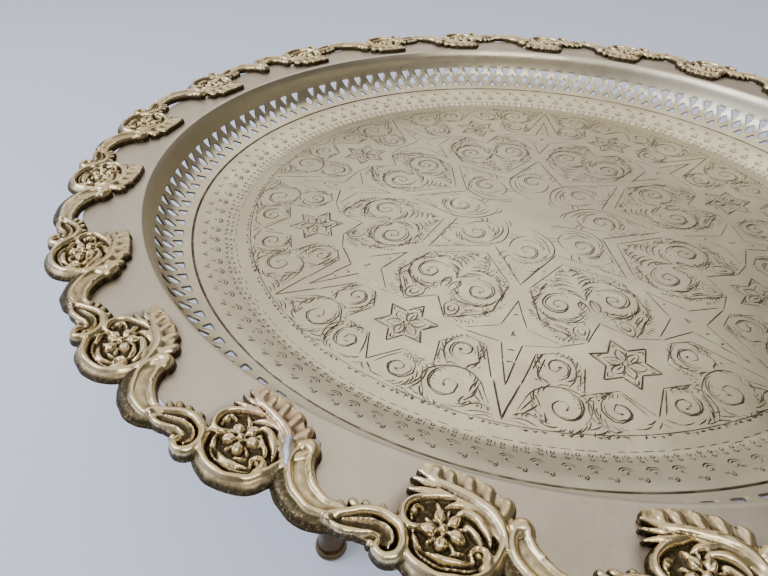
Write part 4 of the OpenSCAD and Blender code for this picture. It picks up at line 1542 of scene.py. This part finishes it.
deg_mm = 180 / math.pi / R_LENS
todo = []
for k, a in enumerate(lens):
    nxt = lens[k + 1] if k + 1 < len(lens) else lens[0] + 360
    width = nxt - a
    last = k == len(lens) - 1
    # angles run anticlockwise: u grows with the angle here
    w_deg = 3.0 if last else width
    todo.append((cell, a, w_deg))
for (V, F, wall, hv), a, w_deg in todo:
    lens_r = a + w_deg           # the cell ends just past the next lens
    u_deg = lens_r + V[:, 0] * (w_deg / (PW * deg_mm)) * deg_mm
    tw = np.radians(u_deg)
    fade = np.clip(np.minimum(V[:, 1] - sB, sT - V[:, 1]) / 2.0, 0, 1)
    # both sides of a cell's edge get the same wander, so the cells stay joined
    ju = .26 * noise2(np.cos(tw) * 231, np.sin(tw) * 231, 7, 4) * fade
    js = .26 * noise2(np.cos(tw) * 231 + 500, np.sin(tw) * 231, 6, 8) * fade
    u2, s2 = u_deg + ju * deg_mm, V[:, 1] + js
    drop = np.where(hv, .22, 0.0)
    inner = wall_xyz(u2, s2, drop, 0)
    outer = wall_xyz(u2, s2, drop, 1)
    n_ = len(V)
    allp += [inner, outer]
    # painted shade: the metal round each hole is darkened through the groove mask
    hole_shade += [np.where(hv, .55, 0.0), np.where(hv, .6, 0.0)]
    allf += [tuple(int(off + x) for x in f) for f in F]
    mi_ += [0] * len(F)
    allf += [tuple(int(off + n_ + x) for x in f[::-1]) for f in F]
    mi_ += [1] * len(F)
    for p, q in wall:
        allf.append((int(off + q), int(off + p), int(off + n_ + p), int(off + n_ + q)))
        mi_.append(0)
    off += 2 * n_
# the plain strip at the sheet's seam, between the last cell and the first lens
(V, F, wall, hv) = plain
end_deg = lens[-1] + 3.0 + 2.72 * deg_mm
start_next = lens[0] + 360 + 2.72 * deg_mm
w_deg = start_next - end_deg
u_deg = end_deg + V[:, 0] / V[:, 0].max() * w_deg
tw = np.radians(u_deg)
fade = np.clip(np.minimum(V[:, 1] - sB, sT - V[:, 1]) / 2.0, 0, 1)
ju = .26 * noise2(np.cos(tw) * 231, np.sin(tw) * 231, 7, 4) * fade
js = .26 * noise2(np.cos(tw) * 231 + 500, np.sin(tw) * 231, 6, 8) * fade
inner = wall_xyz(u_deg + ju * deg_mm, V[:, 1] + js, 0 * V[:, 0], 0)
outer = wall_xyz(u_deg + ju * deg_mm, V[:, 1] + js, 0 * V[:, 0], 1)
n_ = len(V)
allp += [inner, outer]
hole_shade += [np.zeros(n_), np.zeros(n_)]
allf += [tuple(int(off + x) for x in f) for f in F]
mi_ += [0] * len(F)
allf += [tuple(int(off + n_ + x) for x in f[::-1]) for f in F]
mi_ += [1] * len(F)
for p, q in wall:
    allf.append((int(off + q), int(off + p), int(off + n_ + p), int(off + n_ + q)))
    mi_.append(0)


def weld(ob, dist=0.00002):
    import bmesh
    bm = bmesh.new()
    bm.from_mesh(ob.data)
    bmesh.ops.remove_doubles(bm, verts=bm.verts, dist=dist)
    bmesh.ops.recalc_face_normals(bm, faces=bm.faces)
    bm.to_mesh(ob.data)
    bm.free()
    ob.data.update()


wall_piece = make_object("pierced_wall_sheet", np.vstack(allp), allf, [M_WALL, M_UNDER], {"groove": np.concatenate(hole_shade)}, smooth=True, mat_index=mi_)
weld(wall_piece)
wall_piece.data.polygons.foreach_set("use_smooth", np.ones(len(wall_piece.data.polygons), bool))
wall_piece.data.set_sharp_from_angle(angle=rad(32))
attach(wall_piece, "tray")
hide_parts("pierced_wall")

# --------------------------------------------------------------- flange, lip

nth = 720
srow = np.r_[np.linspace(float(s_at(241.0)), float(s_at(243.5)), 6), np.linspace(float(s_at(243.5)), _seg[-1], 30)[1:]]
P, Nn = profile(srow)
th = np.arange(nth) * 2 * math.pi / nth
vt, at_heat, at_foot_dark = [], [], []
for side in (0, 1):
    for (rr, zz), nv in zip(P, Nn):
        k = 0 if side == 0 else -SHEET
        fade = min(1.0, max(0.0, (rr - 242) / 6))
        x, y = rr * np.cos(th), rr * np.sin(th)
        wv = .22 * noise2(x, y, 34, 2) * fade + .07 * noise2(x, y, 11, 3) * fade
        r2 = rr + (nv[0] * k if 241.5 < rr < 270.5 else 0)
        if rr > 270.9:
            r2 = 271 + .12 * noise2(x, y, 5, 6)
            x, y = r2 * np.cos(th), r2 * np.sin(th)
        else:
            x, y = r2 * np.cos(th), r2 * np.sin(th)
        vt.append(np.c_[x, y, zz + nv[1] * k + wv])
        # heat tint gathers round the castings, and the flange is darker round the foot of each casting
        h = np.zeros(nth)
        g = np.zeros(nth)
        for i, ang in enumerate(UNIT_ANGLES):
            uu = ((ang - np.degrees(th) + 180) % 360 - 180) * math.pi / 180 * R_RING
            d1 = np.hypot((uu + 1) / 1.25, rr - 262)
            d2 = np.hypot(uu + 22, rr - 264)
            h = np.maximum(h, np.clip((25 - d1) / 12, 0, 1) * (.5 + .5 * noise2(x, y, 12, i)))
            h = np.maximum(h, np.clip((15 - d2) / 8, 0, 1))
            g = np.maximum(g, np.clip((17.2 - d1) / 3.0, 0, 1))
        at_heat.append(np.clip(h, 0, 1))
        at_foot_dark.append(np.clip(g, 0, 1))
vt = np.vstack(vt)
nr = len(P)
fl_f, fl_m = [], []
for i in range(nr - 1):
    for j in range(nth):
        j2 = (j + 1) % nth
        fl_f.append((i * nth + j, (i + 1) * nth + j, (i + 1) * nth + j2, i * nth + j2))
        fl_m.append(0)
        o = nr * nth
        fl_f.append((o + i * nth + j, o + i * nth + j2, o + (i + 1) * nth + j2, o + (i + 1) * nth + j))
        fl_m.append(1)
for j in range(nth):
    j2 = (j + 1) % nth
    o = nr * nth
    fl_f.append((j, j2, o + j2, o + j))
    fl_f.append(((nr - 1) * nth + j, o + (nr - 1) * nth + j, o + (nr - 1) * nth + j2, (nr - 1) * nth + j2))
    fl_m += [0, 1]
flange_piece = make_object("rim_flange_sheet", vt, np.array(fl_f), [M_FLANGE, M_UNDER],
                           {"heat": np.concatenate(at_heat), "foot_dark": np.concatenate(at_foot_dark)}, smooth=True, mat_index=fl_m)
flange_piece.data.set_sharp_from_angle(angle=rad(40))
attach(flange_piece, "tray")
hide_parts("rim_flange")

# ----------------------------------------------------- legs and what holds them

LEG_PROFILE = [(0, 8.4), (.8, 9.1), (2.6, 9.1), (3.2, 8.4), (4.2, 8.9), (5.4, 8.2), (6.6, 6.9), (9, 7), (13, 6.5), (20, 6.2),
               (34, 5.8), (44, 5.6), (46, 7.6), (48.6, 7.6), (50.4, 5.8), (58, 6.6), (70, 8.2), (80, 8.9), (89, 8.2), (96, 6.2),
               (99, 5.6), (101, 7.8), (103.4, 7.8), (105, 6.4), (111, 8.4), (114, 8.4)]
LEG_ANGLES = (233.7, 353.7, 113.7)
LEG_R = 210.5


def turned(name, prof, cx, cy, z0, mat, nseg=72):
    """A lathe-turned solid with rounded beads and crisp quirks."""
    zz, rr = [], []
    p = np.array(prof, float)
    for i in range(len(p) - 1):
        d = np.hypot(*(p[i + 1] - p[i]))
        n = max(2, int(d / .55))
        for t in np.linspace(0, 1, n, endpoint=False):
            zz.append(p[i, 0] * (1 - t) + p[i + 1, 0] * t)
            rr.append(p[i, 1] * (1 - t) + p[i + 1, 1] * t)
    zz.append(p[-1, 0])
    rr.append(p[-1, 1])
    zz, rr = np.array(zz), np.array(rr)
    # round the corners a little, as a turning tool leaves them
    for _ in range(3):
        rr[1:-1] = rr[1:-1] * .5 + (rr[:-2] + rr[2:]) * .25
    th = np.arange(nseg) * 2 * math.pi / nseg
    v = []
    for z_, r_ in zip(zz, rr):
        v.append(np.c_[cx + r_ * np.cos(th), cy + r_ * np.sin(th), np.full(nseg, z0 + z_)])
    v = np.vstack(v + [np.array([[cx, cy, z0 + zz[0] + .25], [cx, cy, z0 + zz[-1]]])])
    m = len(zz)
    f = []
    for i in range(m - 1):
        for j in range(nseg):
            j2 = (j + 1) % nseg
            f.append((i * nseg + j, i * nseg + j2, (i + 1) * nseg + j2, (i + 1) * nseg + j))
    for j in range(nseg):
        j2 = (j + 1) % nseg
        f.append((j2, j, m * nseg))
        f.append(((m - 1) * nseg + j, (m - 1) * nseg + j2, m * nseg + 1))
    ob = make_object(name, v, f, mat, {}, smooth=True)
    ob.data.set_sharp_from_angle(angle=rad(42))
    return ob


for i, a in enumerate(LEG_ANGLES, 1):
    cx, cy = LEG_R * math.cos(rad(a)), LEG_R * math.sin(rad(a))
    leg = turned(f"leg_turned_{i}", LEG_PROFILE, cx, cy, -125.0, M_LEG)
    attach(leg, f"leg_{i}")
    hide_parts(f"turned_leg_{i}")
    for node, mat in ((f"leg_socket_{i}", M_BRASS), (f"leg_stud_{i}", M_STUD), (f"leg_washer_{i}", M_LEATHER)):
        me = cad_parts[node].data
        me.materials.clear()
        me.materials.append(mat)

# --------------------------------------------------------- floor and lights

fl = bpy.data.meshes.new("studio_floor")
lo = min(v[2] for v in (CAD_BOX[0], CAD_BOX[1])) if hasattr(CAD_BOX[0], "__len__") else -0.125
SZ = 6.0
fl.from_pydata([(-SZ, -SZ, -0.1255), (SZ, -SZ, -0.1255), (SZ, SZ, -0.1255), (-SZ, SZ, -0.1255)], [], [(0, 1, 2, 3)])
floor = bpy.data.objects.new("studio_floor", fl)
bpy.context.scene.collection.objects.link(floor)
nf = Nodes("studio_floor")
nf.b.inputs["Base Color"].default_value = (0.72, 0.79, 1.0, 1)
nf.b.inputs["Roughness"].default_value = 0.75
fl.materials.append(nf.m)

world = bpy.data.worlds.new("studio")
bpy.context.scene.world = world
world.use_nodes = True
wt = world.node_tree
bg = wt.nodes["Background"]
bg.inputs[1].default_value = 1.0
tc = wt.nodes.new("ShaderNodeTexCoord")


def lobe(direction, power, lo_, hi_):
    """How near a direction is to a lamp or a dark part of the room, 0 to 1."""
    d = Vector(direction).normalized()
    dp = wt.nodes.new("ShaderNodeVectorMath")
    dp.operation = "DOT_PRODUCT"
    dp.inputs[1].default_value = d
    wt.links.new(tc.outputs["Generated"], dp.inputs[0])
    mr = wt.nodes.new("ShaderNodeMapRange")
    mr.interpolation_type = "SMOOTHSTEP"
    mr.inputs["From Min"].default_value = lo_
    mr.inputs["From Max"].default_value = hi_
    wt.links.new(dp.outputs["Value"], mr.inputs["Value"])
    return mr.outputs["Result"]


def wmix(fac, a, b):
    m = wt.nodes.new("ShaderNodeMix")
    m.data_type = "RGBA"
    wt.links.new(fac, m.inputs[0])
    for i, v in ((6, a), (7, b)):
        if isinstance(v, tuple):
            m.inputs[i].default_value = (*v, 1)
        else:
            wt.links.new(v, m.inputs[i])
    return m.outputs[2]


base = wmix(lobe((0, 0, 1), 1, 0.0, 0.85), (0.50, 0.51, 0.60), (1.16, 1.11, 1.03))
base = wmix(lobe((-0.30, 0.94, 0.22), 1, 0.84, 0.995), base, (1.00, 0.96, 0.86))
base = wmix(lobe((0.90, 0.30, 0.40), 1, 0.45, 0.95), base, (0.22, 0.20, 0.17))
base = wmix(lobe((0.95, -0.15, 0.25), 1, 0.40, 0.86), base, (0.17, 0.16, 0.14))
base = wmix(lobe((0.1, -1.0, 0.25), 1, 0.50, 0.95), base, (0.15, 0.14, 0.13))
base = wmix(lobe((-1.0, 0.2, 0.1), 1, 0.55, 0.95), base, (0.68, 0.69, 0.84))
wt.links.new(base, bg.inputs[0])


def area_light(name, loc, target, size, power, color=(1, 1, 1), size_y=None):
    d = bpy.data.lights.new(name, "AREA")
    d.energy = power
    d.color = color
    d.shape = "RECTANGLE"
    d.size = size
    d.size_y = size_y or size
    o = bpy.data.objects.new(name, d)
    bpy.context.scene.collection.objects.link(o)
    o.location = loc
    v = Vector(target) - Vector(loc)
    o.rotation_euler = v.to_track_quat("-Z", "Y").to_euler()
    return o


area_light("key_soft", (0.5, 1.3, 1.5), (0, 0.05, 0), 1.3, 4, (1.0, 0.95, 0.86), 0.9)
area_light("fill_left", (-1.5, -0.2, 1.1), (0, 0, 0), 1.2, 19, (0.84, 0.89, 1.0), 1.0)
area_light("front_soft", (0.1, -1.5, 1.3), (0, 0, 0), 1.2, 14, (1.0, 0.97, 0.92), 0.7)

# ------------------------------------------------------------------- camera
PITCH, ROLL = rad(37.65), rad(1.35)
cp, sp = math.cos(PITCH), math.sin(PITCH)
fw = Vector((0, cp, -sp))
r1, u1 = Vector((1, 0, 0)), Vector((0, sp, cp))
right = math.cos(ROLL) * r1 + math.sin(ROLL) * u1
up = -math.sin(ROLL) * r1 + math.cos(ROLL) * u1
cam_d = bpy.data.cameras.new("camera")
cam_d.sensor_width = 36.0
cam_d.lens = 28.125
cam_d.clip_start = 0.01
cam = bpy.data.objects.new("camera", cam_d)
bpy.context.scene.collection.objects.link(cam)
mw = Matrix((right, up, -fw)).transposed().to_4x4()
mw.translation = Vector((-0.0977, -0.3523, 0.2054))
cam.matrix_world = mw
bpy.context.scene.camera = cam
